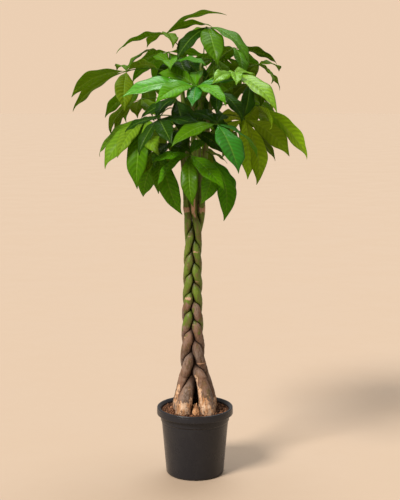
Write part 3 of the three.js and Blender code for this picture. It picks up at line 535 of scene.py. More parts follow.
def plug(tree, socket, value):
    """Links another node's output to a socket, or gives the socket a number or a colour."""
    if isinstance(value, bpy.types.NodeSocket):
        tree.links.new(value, socket)
    elif isinstance(value, tuple):
        socket.default_value = (*value, 1)
    else:
        socket.default_value = value


def give(tree, node, **named):
    """Plugs values into a node's sockets by name."""
    for key, value in named.items():
        plug(tree, node.inputs[key.replace("_", " ")], value)


def place(tree, kind, settings=None, values=(), **named):
    """Adds a shader node, sets it up, and plugs values into its sockets by order and by name."""
    node = tree.nodes.new(kind)
    for key, value in (settings or {}).items():
        setattr(node, key, value)
    for index, value in enumerate(values):
        plug(tree, node.inputs[index], value)
    give(tree, node, **named)
    return node


def attribute(tree, name):
    """The outputs of a node that reads one of the skins' values."""
    return place(tree, "ShaderNodeAttribute", {"attribute_name": name}).outputs


def maths(tree, operation, *values):
    return place(tree, "ShaderNodeMath", {"operation": operation}, values).outputs[0]


def times(tree, first, second):
    return maths(tree, "MULTIPLY", first, second)


def plus(tree, first, second):
    return maths(tree, "ADD", first, second)


def ramp(tree, value, low, high, to_low=0.0, to_high=1.0):
    """Maps a value from one range to another, smoothly and without passing its ends."""
    node = place(tree, "ShaderNodeMapRange", {"interpolation_type": "SMOOTHSTEP"},
                 (value, low, high, to_low, to_high))
    return node.outputs[0]


def blend(tree, share, first, second, kind="MIX"):
    """Mixes two colours."""
    node = place(tree, "ShaderNodeMix", {"data_type": "RGBA", "blend_type": kind})
    for index, value in zip(MIX_INPUTS, (share, first, second)):
        plug(tree, node.inputs[index], value)
    return node.outputs[MIX_OUTPUT]


def layered(tree, colour, *layers):
    """Lays colours over the first in turn, each where its mask is and as strongly as its share says."""
    for mask, share, over, *kind in layers:
        colour = blend(tree, times(tree, mask, share), colour, over, *kind)
    return colour


def new_group(name, inputs, outputs):
    """An empty node group with named inputs (with defaults) and outputs."""
    group = bpy.data.node_groups.new(name, "ShaderNodeTree")
    for socket_name, default in inputs:
        socket = group.interface.new_socket(socket_name, in_out="INPUT", socket_type="NodeSocketFloat")
        socket.default_value = default
    for socket_name in outputs:
        group.interface.new_socket(socket_name, in_out="OUTPUT", socket_type="NodeSocketFloat")
    source = group.nodes.new("NodeGroupInput")
    target = group.nodes.new("NodeGroupOutput")
    return group, source.outputs, target.inputs


def mottle_group():
    """Cloudy patches over a surface: from 0 to 1, sharper as Spread falls."""
    name = "Mottle"
    if name in bpy.data.node_groups:
        return bpy.data.node_groups[name]
    group, given, out = new_group(name, [("Scale", 60), ("Level", 0.5), ("Spread", 0.2), ("Stretch", 1)],
                                  ["Mask"])
    at = place(group, "ShaderNodeTexCoord").outputs["Object"]
    x, y, z = place(group, "ShaderNodeSeparateXYZ", values=(at,)).outputs
    height = times(group, z, given["Stretch"])
    stretched = place(group, "ShaderNodeCombineXYZ", values=(x, y, height)).outputs[0]
    cloud = place(group, "ShaderNodeTexNoise", Vector=stretched, Scale=given["Scale"], Detail=4.0,
                  Roughness=0.6).outputs["Fac"]
    low = maths(group, "SUBTRACT", given["Level"], given["Spread"])
    high = plus(group, given["Level"], given["Spread"])
    group.links.new(ramp(group, cloud, low, high), out["Mask"])
    return group


def mottle(tree, sizes):
    """One placing of the cloudy patches, with its own sizes."""
    return place(tree, "ShaderNodeGroup", {"node_tree": mottle_group()}, sizes).outputs["Mask"]


def new_material(name):
    """A material with a Principled shader on its output."""
    material = bpy.data.materials.new(name)
    material.use_nodes = True
    tree = material.node_tree
    return material, tree, tree.nodes["Principled BSDF"]


def bump(tree, height, strength, distance):
    return place(tree, "ShaderNodeBump", Height=height, Strength=strength, Distance=distance).outputs[0]


def plastic_material(settings):
    """Moulded plastic: a fine grain, a few dusty scuffs and a slightly uneven sheen."""
    material, tree, shader = new_material("black_plastic")
    dust, scuffs, patchy, grain = (mottle(tree, getattr(PATCHES, f"plastic_{mark}"))
                                   for mark in ("dust", "scuffs", "sheen", "grain"))
    colour = layered(tree, tuple(settings.colour), (dust, 0.3, COLOURS.dust),
                     (scuffs, 0.12, COLOURS.scuff))
    sheen = ramp(tree, patchy, 0, 1, settings.roughness - 0.06, settings.roughness + 0.1)
    give(tree, shader, Base_Color=colour, Roughness=sheen, Normal=bump(tree, grain, 0.22, 0.0004),
         Specular_IOR_Level=0.34)
    return material


def soil_material(settings):
    """Peat and bark: every crumb has its own tone, with paler fibres and a rough broken surface."""
    material, tree, shader = new_material("potting_mix")
    speckle = mottle(tree, PATCHES.soil_speckle)
    fibres = mottle(tree, PATCHES.soil_fibres)
    grain = mottle(tree, PATCHES.soil_grain)
    share = plus(tree, attribute(tree, "tone")["Fac"], times(tree, speckle, 0.16))
    colour = blend(tree, share, tuple(settings.dark), tuple(settings.light))
    colour = layered(tree, colour, (fibres, 0.6, COLOURS.dry_fibre))
    give(tree, shader, Base_Color=colour, Roughness=ramp(tree, speckle, 0, 1, 0.82, 0.98),
         Normal=bump(tree, grain, 0.8, 0.001), Specular_IOR_Level=0.1)
    return material


def old_bark(tree, stain, fibre, crack, fleck, settings):
    """Grey-brown bark with damp stains, rusty clouds, fibres, flecks and cracks."""
    stained = blend(tree, stain, tuple(settings.bark), tuple(settings.bark_dark))
    return layered(tree, stained, (mottle(tree, PATCHES.bark_rust), 0.6, COLOURS.rust),
                   (fibre, 0.3, COLOURS.grey_fibre), (fleck, 0.5, tuple(settings.peeled)),
                   (crack, 0.7, COLOURS.bark_crack))


def young_bark(tree, stain, fibre, fleck, settings):
    """Green bark with shaded clouds, pale fibres, tan flecks and worn brown places."""
    return layered(tree, tuple(settings.green), (stain, 0.75, COLOURS.shaded_green),
                   (fibre, 0.5, COLOURS.green_fibre), (fleck, 0.3, COLOURS.green_fleck),
                   (mottle(tree, PATCHES.bark_wear), 0.7, COLOURS.worn_green))


def bare_wood(tree, stain, fibre, crack, settings):
    """Tan wood where the outer bark has come off, with pale fibres, stains, cracks and pits."""
    return layered(tree, tuple(settings.peeled),
                   (mottle(tree, PATCHES.pale_wood), 0.8, COLOURS.pale_wood),
                   (fibre, 0.35, COLOURS.wood_fibre), (stain, 0.35, COLOURS.stained_wood),
                   (crack, 0.9, COLOURS.wood_crack),
                   (mottle(tree, PATCHES.wood_pits), 0.75, COLOURS.wood_pit))


def bark_material(settings):
    """Old grey-brown bark below, young green bark above, with peeled patches, leaf scars and painted shade
    in the folds between the trunks.
    """
    material, tree, shader = new_material("braided_bark")
    masks = attribute(tree, "bark")
    green, peeled, scar = place(tree, "ShaderNodeSeparateColor", values=(masks["Color"],)).outputs
    stain, fibre, crack, fleck = (mottle(tree, getattr(PATCHES, f"bark_{mark}"))
                                  for mark in ("stain", "fibre", "crack", "fleck"))
    ragged = maths(tree, "SUBTRACT", stain, 0.5)
    grown = ramp(tree, plus(tree, green, times(tree, ragged, 0.8)), 0.3, 0.7)
    colour = blend(tree, grown, old_bark(tree, stain, fibre, crack, fleck, settings),
                   young_bark(tree, stain, fibre, fleck, settings))
    torn = plus(tree, times(tree, ragged, 1.1), times(tree, fleck, 0.3))
    bare = ramp(tree, plus(tree, times(tree, peeled, 1.65), torn), 0.75, 1.1)
    colour = blend(tree, bare, colour, bare_wood(tree, stain, fibre, crack, settings))
    scarred = ramp(tree, plus(tree, scar, times(tree, ragged, 0.5)), 0.3, 0.8)
    colour = blend(tree, scarred, colour, blend(tree, fibre, tuple(settings.scar), COLOURS.cork))
    # Painted shade: the fourth bark value darkens the bark in the folds between the trunks.
    colour = layered(tree, colour, (masks["Alpha"], 0.95, COLOURS.bark_fold, "MULTIPLY"))
    height = maths(tree, "SUBTRACT", times(tree, fibre, 0.6), times(tree, crack, 0.8))
    give(tree, shader, Base_Color=colour, Roughness=ramp(tree, grown, 0, 1, 0.88, 0.45),
         Normal=bump(tree, height, 0.6, 0.0008), Specular_IOR_Level=0.28)
    return material


def husk_material(settings):
    """The dried root: papery tan layers with dark cracks along them."""
    material, tree, shader = new_material("dried_husk")
    layers = mottle(tree, PATCHES.husk_layers)
    cracks = mottle(tree, PATCHES.husk_cracks)
    colour = blend(tree, layers, tuple(settings.peeled), COLOURS.pale_husk)
    colour = blend(tree, cracks, colour, COLOURS.husk_crack)
    give(tree, shader, Base_Color=colour, Roughness=ramp(tree, layers, 0, 1, 0.8, 0.95),
         Normal=bump(tree, layers, 0.8, 0.001))
    return material


def vein_group():
    """A blade's veins from its own coordinates: x along, y across, z 1 above and 0 below."""
    group, given, out = new_group("Blade veins", [("Pairs", 13), ("Slant", VEIN_SLANT)],
                                  ["Midrib", "Side veins", "Quilt", "Upper"])
    blade = attribute(group, "blade")["Vector"]
    along, across, upper = place(group, "ShaderNodeSeparateXYZ", values=(blade,)).outputs
    out_from_rib = maths(group, "ABSOLUTE", across)
    group.links.new(ramp(group, out_from_rib, 0.03, 0.075, 1.0, 0.0), out["Midrib"])
    slanted = times(group, maths(group, "POWER", out_from_rib, VEIN_CURVE), given["Slant"])
    count = maths(group, "SUBTRACT", times(group, along, given["Pairs"]), slanted)
    from_vein = maths(group, "PINGPONG", count, 0.5)
    fade = ramp(group, out_from_rib, 0.75, 1.0, 1.0, 0.25)
    vein = ramp(group, from_vein, 0.03, 0.11, 1.0, 0.0)
    group.links.new(times(group, vein, fade), out["Side veins"])
    group.links.new(times(group, ramp(group, from_vein, 0.0, 0.5), fade), out["Quilt"])
    group.links.new(upper, out["Upper"])
    return group


def leaf_colour(tree, tint, veins, cloudy, fine, settings):
    """Green of both faces: cloudy, with painted shade in the quilting's folds, with pale veins; duller
    below.
    """
    # Painted shade: the blade darkens in the quilting's folds along the side veins.
    fold = maths(tree, "SUBTRACT", 1.0, veins["Quilt"])
    vein = tuple(settings.vein)
    shade = layered(tree, tint, (cloudy, 0.35, COLOURS.leaf_cloud, "MULTIPLY"),
                    (fine, 0.3, COLOURS.leaf_speck, "MULTIPLY"),
                    (fold, 0.56, COLOURS.leaf_fold, "MULTIPLY"), (veins["Side veins"], 0.10, vein))
    upper = layered(tree, shade, (veins["Midrib"], 0.42, vein))
    dull = blend(tree, 0.3, shade, COLOURS.dull_leaf)
    under = layered(tree, dull, (veins["Midrib"], 0.5, COLOURS.rib_below))
    return blend(tree, veins["Upper"], under, upper)


def leaf_material(settings):
    """A blade that some light passes: a waxy coat above where it is glossy, and duller below."""
    material, tree, shader = new_material("leaf_blade")
    veins = place(tree, "ShaderNodeGroup", {"node_tree": vein_group()},
                  (float(settings.vein_pairs), VEIN_SLANT)).outputs
    tint = attribute(tree, "tint")
    cloudy = mottle(tree, PATCHES.leaf_clouds)
    fine = mottle(tree, PATCHES.leaf_specks)
    colour = leaf_colour(tree, tint["Color"], veins, cloudy, fine, settings)
    coat = times(tree, times(tree, veins["Upper"], tint["Alpha"]), 0.9)
    relief = plus(tree, veins["Quilt"], times(tree, fine, 0.25))
    normal = bump(tree, relief, 0.65, 0.0012)
    give(tree, shader, Base_Color=colour, Roughness=ramp(tree, cloudy, 0, 1, 0.5, 0.6), Normal=normal,
         Coat_Weight=coat, Coat_Roughness=0.27, Specular_IOR_Level=0.12,
         Specular_Tint=COLOURS.leaf_sheen)
    through = place(tree, "ShaderNodeBsdfTranslucent", Normal=normal,
                    Color=blend(tree, 0.5, colour, COLOURS.light_through)).outputs[0]
    both = place(tree, "ShaderNodeMixShader", values=(settings.translucency, shader.outputs[0], through))
    tree.links.new(both.outputs[0], tree.nodes["Material Output"].inputs["Surface"])
    return material


# ------------------------------------------------------------------ pot


def pot_inside(height):
    """Inside radius of the pot's wall at a height."""
    if height >= SHOULDER:
        return POT.collar_radius - POT.wall
    return mix(POT.base_radius, POT.body_top_radius, height / SHOULDER) - POT.wall


def pot_outline():
    """The turned profile as (radius, height, rounding), from the middle of the foot round to the floor."""
    top, lip, wall, recess = POT.height, POT.lip, POT.wall, POT.recess
    rim, collar, base, pad = POT.rim_radius, POT.collar_radius, POT.base_radius, POT.pad_radius
    ring, inner = base - POT.ring_width, collar - wall
    band, inset = top - POT.band_depth, rim - POT.band_inset
    bead, half_bead = SHOULDER - POT.bead_drop, POT.bead_half_height
    return [
        (0, 0, 0), (pad, 0, 1), (pad + recess, recess, 1),
        (ring - recess, recess, 1), (ring, 0, 0.6),
        (base - POT.base_fillet, 0, 0.8), (base, POT.base_fillet, 3),
        (pot_inside(bead - half_bead) + wall, bead - half_bead, 0.5),
        (pot_inside(bead) + wall + POT.bead_rise, bead, 0.8),
        (pot_inside(bead + half_bead) + wall, bead + half_bead, 0.5),
        (POT.body_top_radius, SHOULDER, 1.2), (collar, SHOULDER + lip, 1.2),
        (collar, COLLAR_TOP - POT.crease_down, 0.8), (collar - POT.crease_in, COLLAR_TOP, 0.8),
        (rim - lip, COLLAR_TOP, 1.4), (rim, COLLAR_TOP + lip, 1.6),
        (rim - POT.rim_draft, band, 1.2), (inset, band + POT.band_step, 1.2),
        (inset, top - lip, 1.6), (rim - lip - 1, top, 1.6),
        (rim - 3 * wall, top, 2.2), (inner, top - 3 * wall, 2),
        (inner, SHOULDER, 1), (pot_inside(SHOULDER - lip), SHOULDER - lip, 1),
        (pot_inside(FLOOR_TOP), FLOOR_TOP, 2), (0, FLOOR_TOP, 0),
    ]


def rounded(corners, edge):
    """Replaces every marked corner of an outline with a short curve."""
    points = []
    last = len(corners) - 1
    for i, (radius, height, share) in enumerate(corners):
        corner = np.array([radius, height], float)
        if i in (0, last) or share == 0:
            points.append(corner)
            continue
        ways = [np.array(corners[j][:2], float) - corner for j in (i - 1, i + 1)]
        reach = min(share * edge, *(0.45 * np.linalg.norm(way) for way in ways))
        start, end = (corner + reach * way / np.linalg.norm(way) for way in ways)
        for t in (0, 0.25, 0.5, 0.75, 1):
            points.append((1 - t) ** 2 * start + 2 * t * (1 - t) * corner + t * t * end)
    return np.array(points)


def notch_lift(radius, height, angle):
    """Height of the skin where a drainage notch is cut through the foot of the wall."""
    step = 2 * math.pi / POT.notches
    turn = (angle + math.pi / 2 - 0.25 * step + step / 2) % step - step / 2
    from_middle = np.abs(turn) * POT.base_radius
    half, edge = POT.notch_width / 2, POT.notch_edge
    inside = 1 - smooth(half - edge, half + edge, from_middle)
    start = POT.base_radius - POT.ring_width - POT.recess
    on_ring = (radius > start) & (height < POT.notch_height)
    return np.where(on_ring, mix(height, POT.notch_height, inside), height)


def pot_skin(settings):
    """The pot's closed skin, turned round its axis, with the notches cut in its foot."""
    profile = rounded(pot_outline(), settings.edge_radius / MM)
    radius, height = profile[1:-1].T[..., None]
    angle = round_angles(settings.segments)
    return Skin().add(*tube(around(0, 0, radius, angle, notch_lift(radius, height, angle))))


# ------------------------------------------------------------------ soil


def crumb_shape():
    """Points and outward faces of a twenty-sided lump of radius 1, from two rings between two poles."""
    reach, level = 0.894, 0.447
    rings = [(reach * math.cos(TURN * (k + turned)), reach * math.sin(TURN * (k + turned)), z)
             for turned, z in ((0, -level), (0.5, level)) for k in range(5)]
    points = [(0, 0, -1), *rings, (0, 0, 1)]
    lower, upper, top = 1, 6, 11
    faces = []
    for k in range(5):
        after = (k + 1) % 5
        faces += [(0, lower + after, lower + k), (lower + k, lower + after, upper + k),
                  (lower + after, upper + after, upper + k), (top, upper + k, upper + after)]
    return np.array(points, float), np.array(faces)


def soil_height(x, y):
    """Top of the mix: a level bed of soft lumps."""
    at = np.stack([x, y, np.zeros_like(x)], -1)
    return SOIL_LEVEL - SOIL.settled + lumps(at, *SOIL_LUMPS)


def soil_bed(skin):
    """The body of the mix, from the pot's floor to its lumpy top."""
    angle = round_angles(SOIL.sides)
    share = np.linspace(1, SOIL.middle, SOIL.rings)[:, None]
    radius = (pot_inside(SOIL_LEVEL) - RUNNING_GAP) * share
    x, y = radius * np.cos(angle), radius * np.sin(angle)
    top = np.stack([x, y, soil_height(x, y)], -1)
    levels = (FLOOR_TOP + RUNNING_GAP, SHOULDER - POT.lip, SHOULDER)
    wall = [around(0, 0, pot_inside(level) - RUNNING_GAP, angle, level) for level in levels]
    points, faces = tube(np.concatenate([np.array(wall), top]))
    tone = 0.16 + 0.14 * noise(points, 7, 4) + 0.1 * noise(points, 3.5, 5)
    skin.add(points, faces, tone=np.repeat(tone[:, None], 4, 1))


def soil_crumbs(skin, settings):
    """Loose crumbs of bark and peat, scattered evenly and kept off the trunks."""
    random = np.random.default_rng(SEED)
    shape, faces = crumb_shape()
    edge = pot_inside(SOIL_LEVEL) - CRUMB.off_wall
    trunk = float(look_up(STEM_RADIUS, SOIL_LEVEL)) + CRUMB.off_trunk
    feet = [(foot, trunk) for _, foot, _, _ in STEMS] + [(STUB.place, STUB.radius + CRUMB.off_stub)]
    for _ in range(settings.crumbs):
        angle, share, tone = random.random(3) * (2 * math.pi, 1, 1)
        size = settings.crumb_size / MM * random.lognormal(*CRUMB.sizes) / 2
        x, y = (edge * math.sqrt(share) * f(angle) for f in (math.cos, math.sin))
        stretch = random.uniform(CRUMB.least, CRUMB.most) * size
        ways = random.normal(size=(3, 3)) * CRUMB.tumble + np.eye(3) * CRUMB.flat
        turn = np.linalg.qr(ways)[0]
        turn *= np.sign(np.linalg.det(turn))
        lumpy = shape * random.uniform(*CRUMB.dents, (len(shape), 1))
        if any(math.hypot(x - foot[0], y - foot[1]) < reach for foot, reach in feet):
            continue
        height = soil_height(np.array(x), np.array(y)) + CRUMB.sit * size
        tone = CRUMB.darkest + CRUMB.tones * tone ** CRUMB.rarity
        skin.add((lumpy * stretch) @ turn.T + (x, y, height), [faces], tone=np.full((1, 4), tone))


# ------------------------------------------------------------------ trunks


def stem_centre(index, height):
    """Middle of a trunk at some heights, as x and y."""
    _, foot, leaves, tip = STEMS[index]
    height = np.asarray(height, float)
    turns = [(crossing, (FIRST_TURN + i) * TURN) for i, crossing in enumerate(CROSSINGS)]
    angle = look_up(turns, np.maximum(height, CROSSINGS[1])) + index * TURN
    half = look_up(BRAID_HALF_WIDTH, height)
    braid = (look_up(BRAID_AXIS, height) + half * np.sin(angle),
             half * BRAID_DEPTH_SHARE * np.sin(2 * angle))
    t = np.maximum(0, (height - BRAID_TOP[1]) / (tip[2] - BRAID_TOP[1]))
    ease = 0.35 * t + 0.65 * t * t
    braided = smooth(*BRAID_FOOT, height)
    loose = smooth(*BRAID_TOP, height)
    return [mix(mix(foot[k], braid[k], braided), mix(leaves[k], tip[k], ease), loose) for k in (0, 1)]


def pressed_reach(index, height, angle, levels, gap):
    """Reach of a trunk to the line halfway to its neighbours, at and around some heights."""
    reach = np.full(np.broadcast(height, angle).shape, np.inf)
    for share in levels:
        level = height + share * BRAID_STEP
        x, y = stem_centre(index, level)
        for other, (_, _, _, tip) in enumerate(STEMS):
            if other == index:
                continue
            x_other, y_other = stem_centre(other, level)
            apart = np.hypot(x_other - x, y_other - y)
            facing = (np.cos(angle) * (x_other - x) + np.sin(angle) * (y_other - y)) / apart
            limit = np.where(facing > 0.05, (apart - gap) / 2 / np.maximum(facing, 0.05), np.inf)
            reach = np.minimum(reach, np.where(level > tip[2], np.inf, limit))
    return reach


def round_reach(index, height, angle):
    """Reach of a leaning round trunk, whose level section is an oval."""
    x, y = stem_centre(index, height)
    x_above, y_above = stem_centre(index, height + 1)
    lean = np.hypot(x_above - x, y_above - y)
    along = np.cos(angle) * (x_above - x) + np.sin(angle) * (y_above - y)
    return look_up(STEM_RADIUS, height) / np.sqrt(1 - along * along / (1 + lean * lean))


def stem_section(index, heights):
    """The trunk's straight-sided sections, as its solid has them."""
    height = np.asarray(heights, float)[:, None]
    angle = round_angles(STEM_SIDES)
    reach = np.minimum(round_reach(index, height, angle),
                       pressed_reach(index, height, angle, PRESS_LEVELS, STEM_GAP))
    return around(*stem_centre(index, height), reach, angle, height)


def stem_heights(index):
    """Heights of the sections of the trunk's solid."""
    end = STEMS[index][3][2]
    braid_steps = round((BRAID_TOP[1] - SOIL_LEVEL) / BRAID_STEP)
    shoot_steps = math.floor((end - BRAID_TOP[1]) / SHOOT_STEP + 0.5)
    braid = [mix(SOIL_LEVEL, BRAID_TOP[1], i / braid_steps) for i in range(braid_steps + 1)]
    return braid + [mix(BRAID_TOP[1], end, i / shoot_steps) for i in range(1, shoot_steps + 1)]


# Leaf scars: trunk, height, the way each faces, its half height, how far round it goes, its strength.
SCARS = [
    (1, 408, -60, 2.4, 100, 1), (1, 640, -120, 6.5, 55, 0.7), (4, 648, -120, 9.0, 60, 0.7),
    (1, 804, -80, 2.6, 60, 0.9), (2, 952, -100, 12.0, 200, 1), (4, 950, -80, 12.0, 200, 1),
    (0, 955, -95, 34.0, 40, 1), (3, 500, -120, 2.0, 90, 0.45), (0, 545, -60, 2.0, 110, 0.5),
    (2, 700, -70, 2.0, 100, 0.4), (4, 760, -110, 1.8, 90, 0.4), (3, 858, -100, 2.0, 90, 0.45),
    (3, 955, 60, 10.0, 160, 1), (1, 948, 110, 10.0, 170, 1), (0, 318, -100, 1.8, 90, 0.4),
    (1, 880, 70, 2.2, 120, 0.6), (3, 720, 100, 2.2, 120, 0.6), (2, 610, 90, 2.2, 120, 0.6),
]
# Patches of missing outer bark: trunk, height, the way each faces, its half height and half width.
PEELED = [
    (2, 296, -140, 60, 34), (2, 256, -112, 34, 84), (0, 250, -105, 27, 75), (0, 262, -45, 26, 34),
    (4, 300, -135, 34, 22), (4, 258, -118, 24, 56), (1, 256, -40, 22, 40), (3, 262, 60, 30, 45),
    (2, 244, -40, 14, 60), (1, 300, 60, 30, 30), (4, 280, 120, 36, 28),
]
# Patches where the bark has stayed brown among the green, in the same way.
BROWN = [
    (4, 588, -70, 32, 70), (3, 575, -70, 12, 60), (1, 610, -120, 16, 70), (4, 655, -120, 12, 70),
    (2, 560, 100, 24, 70), (0, 700, 90, 14, 60), (2, 505, -90, 16, 90),
]
# Heights between which each trunk's bark turns from grey-brown to green.
TURNS_GREEN = [(505, 590), (545, 640), (470, 560), (500, 600), (450, 560)]
# Heights between which the feet's flecks, swellings and knobs fade out, and the painted shade in the folds
# over the braid.
FADES = Named(flecks=(245, 330), swellings=(300, 420), knobs=(250, 310), folds=(870, 930))
# A trunk's skin: its start below the mix, the gap between two skins, how sharply a round side turns
# into a pressed one, and the length of its rounded end, which would close a little past the tip.
TRUNK_SKIN = Named(sunk=12, gap=0.5, squareness=5, tip_round=14, tip_over=4)
# Dry roots on each foot: between which heights they start, how thick they are there and at the tip, how
# far they turn and waver round the foot, how far they stand off it and spread on the way down, and their
# bark values, the last of which is a little painted shade.
HAIR_ROOT = Named(count=16, points=14, sides=6, starts=(238, 290), thick=(0.4, 0.85), tip=0.3,
                  buried=2, turn=0.3, waver=0.07, wavers=9, off=1.0, spread=8, flare=1.6,
                  masks=(0, 1, 0, 0.2))


def turned_from(angle, bearing):
    """How far an angle lies from a bearing, in degrees from 0 to 180."""
    return np.abs((np.degrees(angle) - bearing + 180) % 360 - 180)


def patches(rows, index, height, angle, at):
    """A mask of the listed patches of one trunk, with ragged edges."""
    mask = np.zeros(at.shape[:-1])
    for owner, level, bearing, tall, wide in rows:
        if owner == index:
            far = np.hypot((height - level) / tall, turned_from(angle, bearing) / wide)
            mask = np.maximum(mask, 1 - smooth(0.5, 1.3, far + 0.55 * noise(at, (7, 7, 13), 31)))
    return mask


def bark_masks(index, height, angle, at):
    """How green, how peeled and how scarred each point of a trunk is, from 0 to 1."""
    low, high = TURNS_GREEN[index]
    ragged = lumps(at, (34, (26, 26, 40), 11 + index), (22, 12, 21 + index))
    green = smooth(low, high, height + ragged) * (1 - patches(BROWN, index, height, angle, at))
    flecks = smooth(0.05, 0.5, noise(at, (9, 9, 14), 33)) * (1 - smooth(*FADES.flecks, height))
    peeled = np.maximum(patches(PEELED, index, height, angle, at), 0.8 * flecks)
    scar = np.zeros_like(green)
    for owner, level, bearing, tall, wide, strength in SCARS:
        if owner == index:
            ring = 1 - smooth(0.45, 1.2, np.abs(height - level + 1.4 * noise(at, 11, 41)) / tall
                              + 0.55 * noise(at, 7, 42))
            ends = 1 - smooth(0.7, 1.1, turned_from(angle, bearing) / wide)
            scar = np.maximum(scar, strength * ring * ends)
    return green, peeled, scar


def painted_fold_shade(height, at, press, round_part):
    """How deep each point lies in the folds between the trunks, from 0 to 1: the painted shade that darkens
    the bark there.
    """
    spread = look_up(BRAID_HALF_WIDTH, height) + look_up(STEM_RADIUS, height)
    from_axis = np.hypot(at[..., 0] - look_up(BRAID_AXIS, height), at[..., 1]) / spread
    touching = 1 - smooth(-3, 8, press - round_part)
    deep_shade = (1 - smooth(0.58, 0.92, from_axis)) * (1 - smooth(*FADES.folds, height))
    return np.maximum(0.28 * touching, deep_shade)


def bark_relief(index, height, angle, at, masks, relief):
    """How far the bark stands out: long wrinkles below, soft knuckles above, a lip at every scar."""
    green, peeled, scar = masks
    height, angle = np.broadcast_arrays(height, angle)
    blank = np.zeros_like(angle)
    wrinkles = lumps(at, (1, (5, 5, 30), 51), (0.6, (2.6, 2.6, 12), 52))
    knuckles = 0.8 * noise(np.stack([height, blank, blank], -1), 38, 61 + index)
    rings = 0.5 * noise(np.stack([height, angle * 6, blank], -1), 5, 71 + index)
    swellings = 1.6 * noise(at, 24, 81) * (1 - smooth(*FADES.swellings, height))
    knobs = 1.7 * noise(at, (8, 8, 10), 82) * (1 - smooth(*FADES.knobs, height))
    fine = relief * (wrinkles * mix(1.0, 0.45, green) + rings) + knuckles + swellings + knobs
    return fine - 0.9 * peeled * (1 - scar) + 0.7 * scar


def hair_root(index, random):
    """A dry hair root that hangs down a trunk's foot and wanders off into the soil."""
    share = np.linspace(0, 1, HAIR_ROOT.points)
    height = mix(random.uniform(*HAIR_ROOT.starts), SOIL_LEVEL - HAIR_ROOT.buried, share)
    bearing = random.uniform(-math.pi, math.pi)
    angle = bearing + share * random.normal(0, HAIR_ROOT.turn)
    angle = angle + HAIR_ROOT.waver * np.sin(HAIR_ROOT.wavers * share + bearing)
    off = HAIR_ROOT.off + random.uniform(0, HAIR_ROOT.spread) * share ** HAIR_ROOT.flare
    reach = round_reach(index, height, angle) + off
    path = around(*stem_centre(index, height), reach, angle, height)
    radius = np.linspace(random.uniform(*HAIR_ROOT.thick), HAIR_ROOT.tip, len(share))
    return tube(rings_along(path, radius, HAIR_ROOT.sides))


def trunk_skin(index, settings):
    """One trunk: its foot in the soil, its path through the braid, its shoot and its hair roots."""
    end = STEMS[index][3][2]
    height = np.arange(SOIL_LEVEL - TRUNK_SKIN.sunk, end, settings.step / MM)
    height = np.append(height, end)[:, None]
    angle = round_angles(settings.sides)
    level = np.maximum(height, SOIL_LEVEL)
    press = pressed_reach(index, level, angle, (0,), TRUNK_SKIN.gap)
    round_part = round_reach(index, level, angle)
    power = TRUNK_SKIN.squareness
    reach = (round_part ** -power + press ** -power) ** (-1 / power)
    centre = stem_centre(index, level)
    at = around(*centre, reach, angle, height)
    masks = bark_masks(index, height, angle, at)
    relief = bark_relief(index, height, angle, at, masks, settings.relief / MM)
    tip, over = TRUNK_SKIN.tip_round, TRUNK_SKIN.tip_over
    dome = np.sqrt(np.clip((end + over - height) / (tip + over), 0, 1))
    out = (reach + relief * smooth(0, 6, end - height)) * np.where(height > end - tip, dome, 1)
    points, faces = tube(around(*centre, out, angle, height))
    # Painted shade: how deep each point lies in the folds, carried as the fourth bark value.
    folds = painted_fold_shade(level, at, press, round_part)
    held = np.stack(np.broadcast_arrays(*masks, folds), -1).reshape(-1, 4)
    held = np.concatenate([held, held[:1], held[-1:]])
    skin = Skin("bark").add(points, faces, bark=held)
    random = np.random.default_rng(SEED + 10 + index)
    for _ in range(HAIR_ROOT.count):
        skin.add(*hair_root(index, random), bark=HAIR_ROOT.masks)
    return skin


def husk_core(base):
    """The dried root's body: a knobbly bulb that narrows to a torn neck."""
    radius, tall, sunk = STUB.radius, STUB.height, STUB.sunk
    profile = [(-sunk, 0.55), (-sunk / 2, 0.9), *((tall * share, width) for share, width in STUB_OUTLINE)]
    height = np.linspace(-sunk, tall, STUB.rings)[:, None]
    angle = round_angles(STUB.sides)
    reach = radius * look_up(profile, height) + np.zeros_like(angle)
    at = around(0, 0, reach, angle, height)
    reach = reach * (1 + 0.16 * noise(at, (5, 5, 16), 91) + 0.1 * noise(at, 3, 92))
    return tube(around(STUB.lean * smooth(10, tall, height), 0, reach, angle, height) + base)


def husk_strip(base, random):
    """A strip of torn husk that stands off the bulb and curls away as it thins."""
    bearing = random.uniform(-math.pi, math.pi)
    out = np.array([math.cos(bearing), math.sin(bearing), 0])
    start = out * random.uniform(5, 10) + (0, 0, random.uniform(1, 14))
    rise = random.uniform(10, 26)
    aside = np.array([-out[1], out[0], 0]) * random.normal(0, 4)
    bend = [start, start + (0, 0, rise * 0.4) + out * random.uniform(-2, 3) + aside,
            start * (0.5, 0.5, 1) + (0, 0, rise) + aside,
            start + (0, 0, rise * random.uniform(0.6, 1.1)) + out * random.uniform(-6, 6) - aside]
    path = base + bezier(bend, np.linspace(0, 1, STUB.strip_points))
    radius = np.linspace(random.uniform(0.6, 1.5), 0.25, STUB.strip_points)
    return tube(rings_along(path, radius, STUB.strip_sides))


def stub_skin():
    """The dried root between the two front trunks, with its loose strips of husk."""
    base = np.array([*STUB.place, SOIL_LEVEL], float)
    skin = Skin().add(*husk_core(base))
    random = np.random.default_rng(SEED + 2)
    for _ in range(STUB.strips):
        skin.add(*husk_strip(base, random))
    return skin


# ------------------------------------------------------------------ how the leaves grow


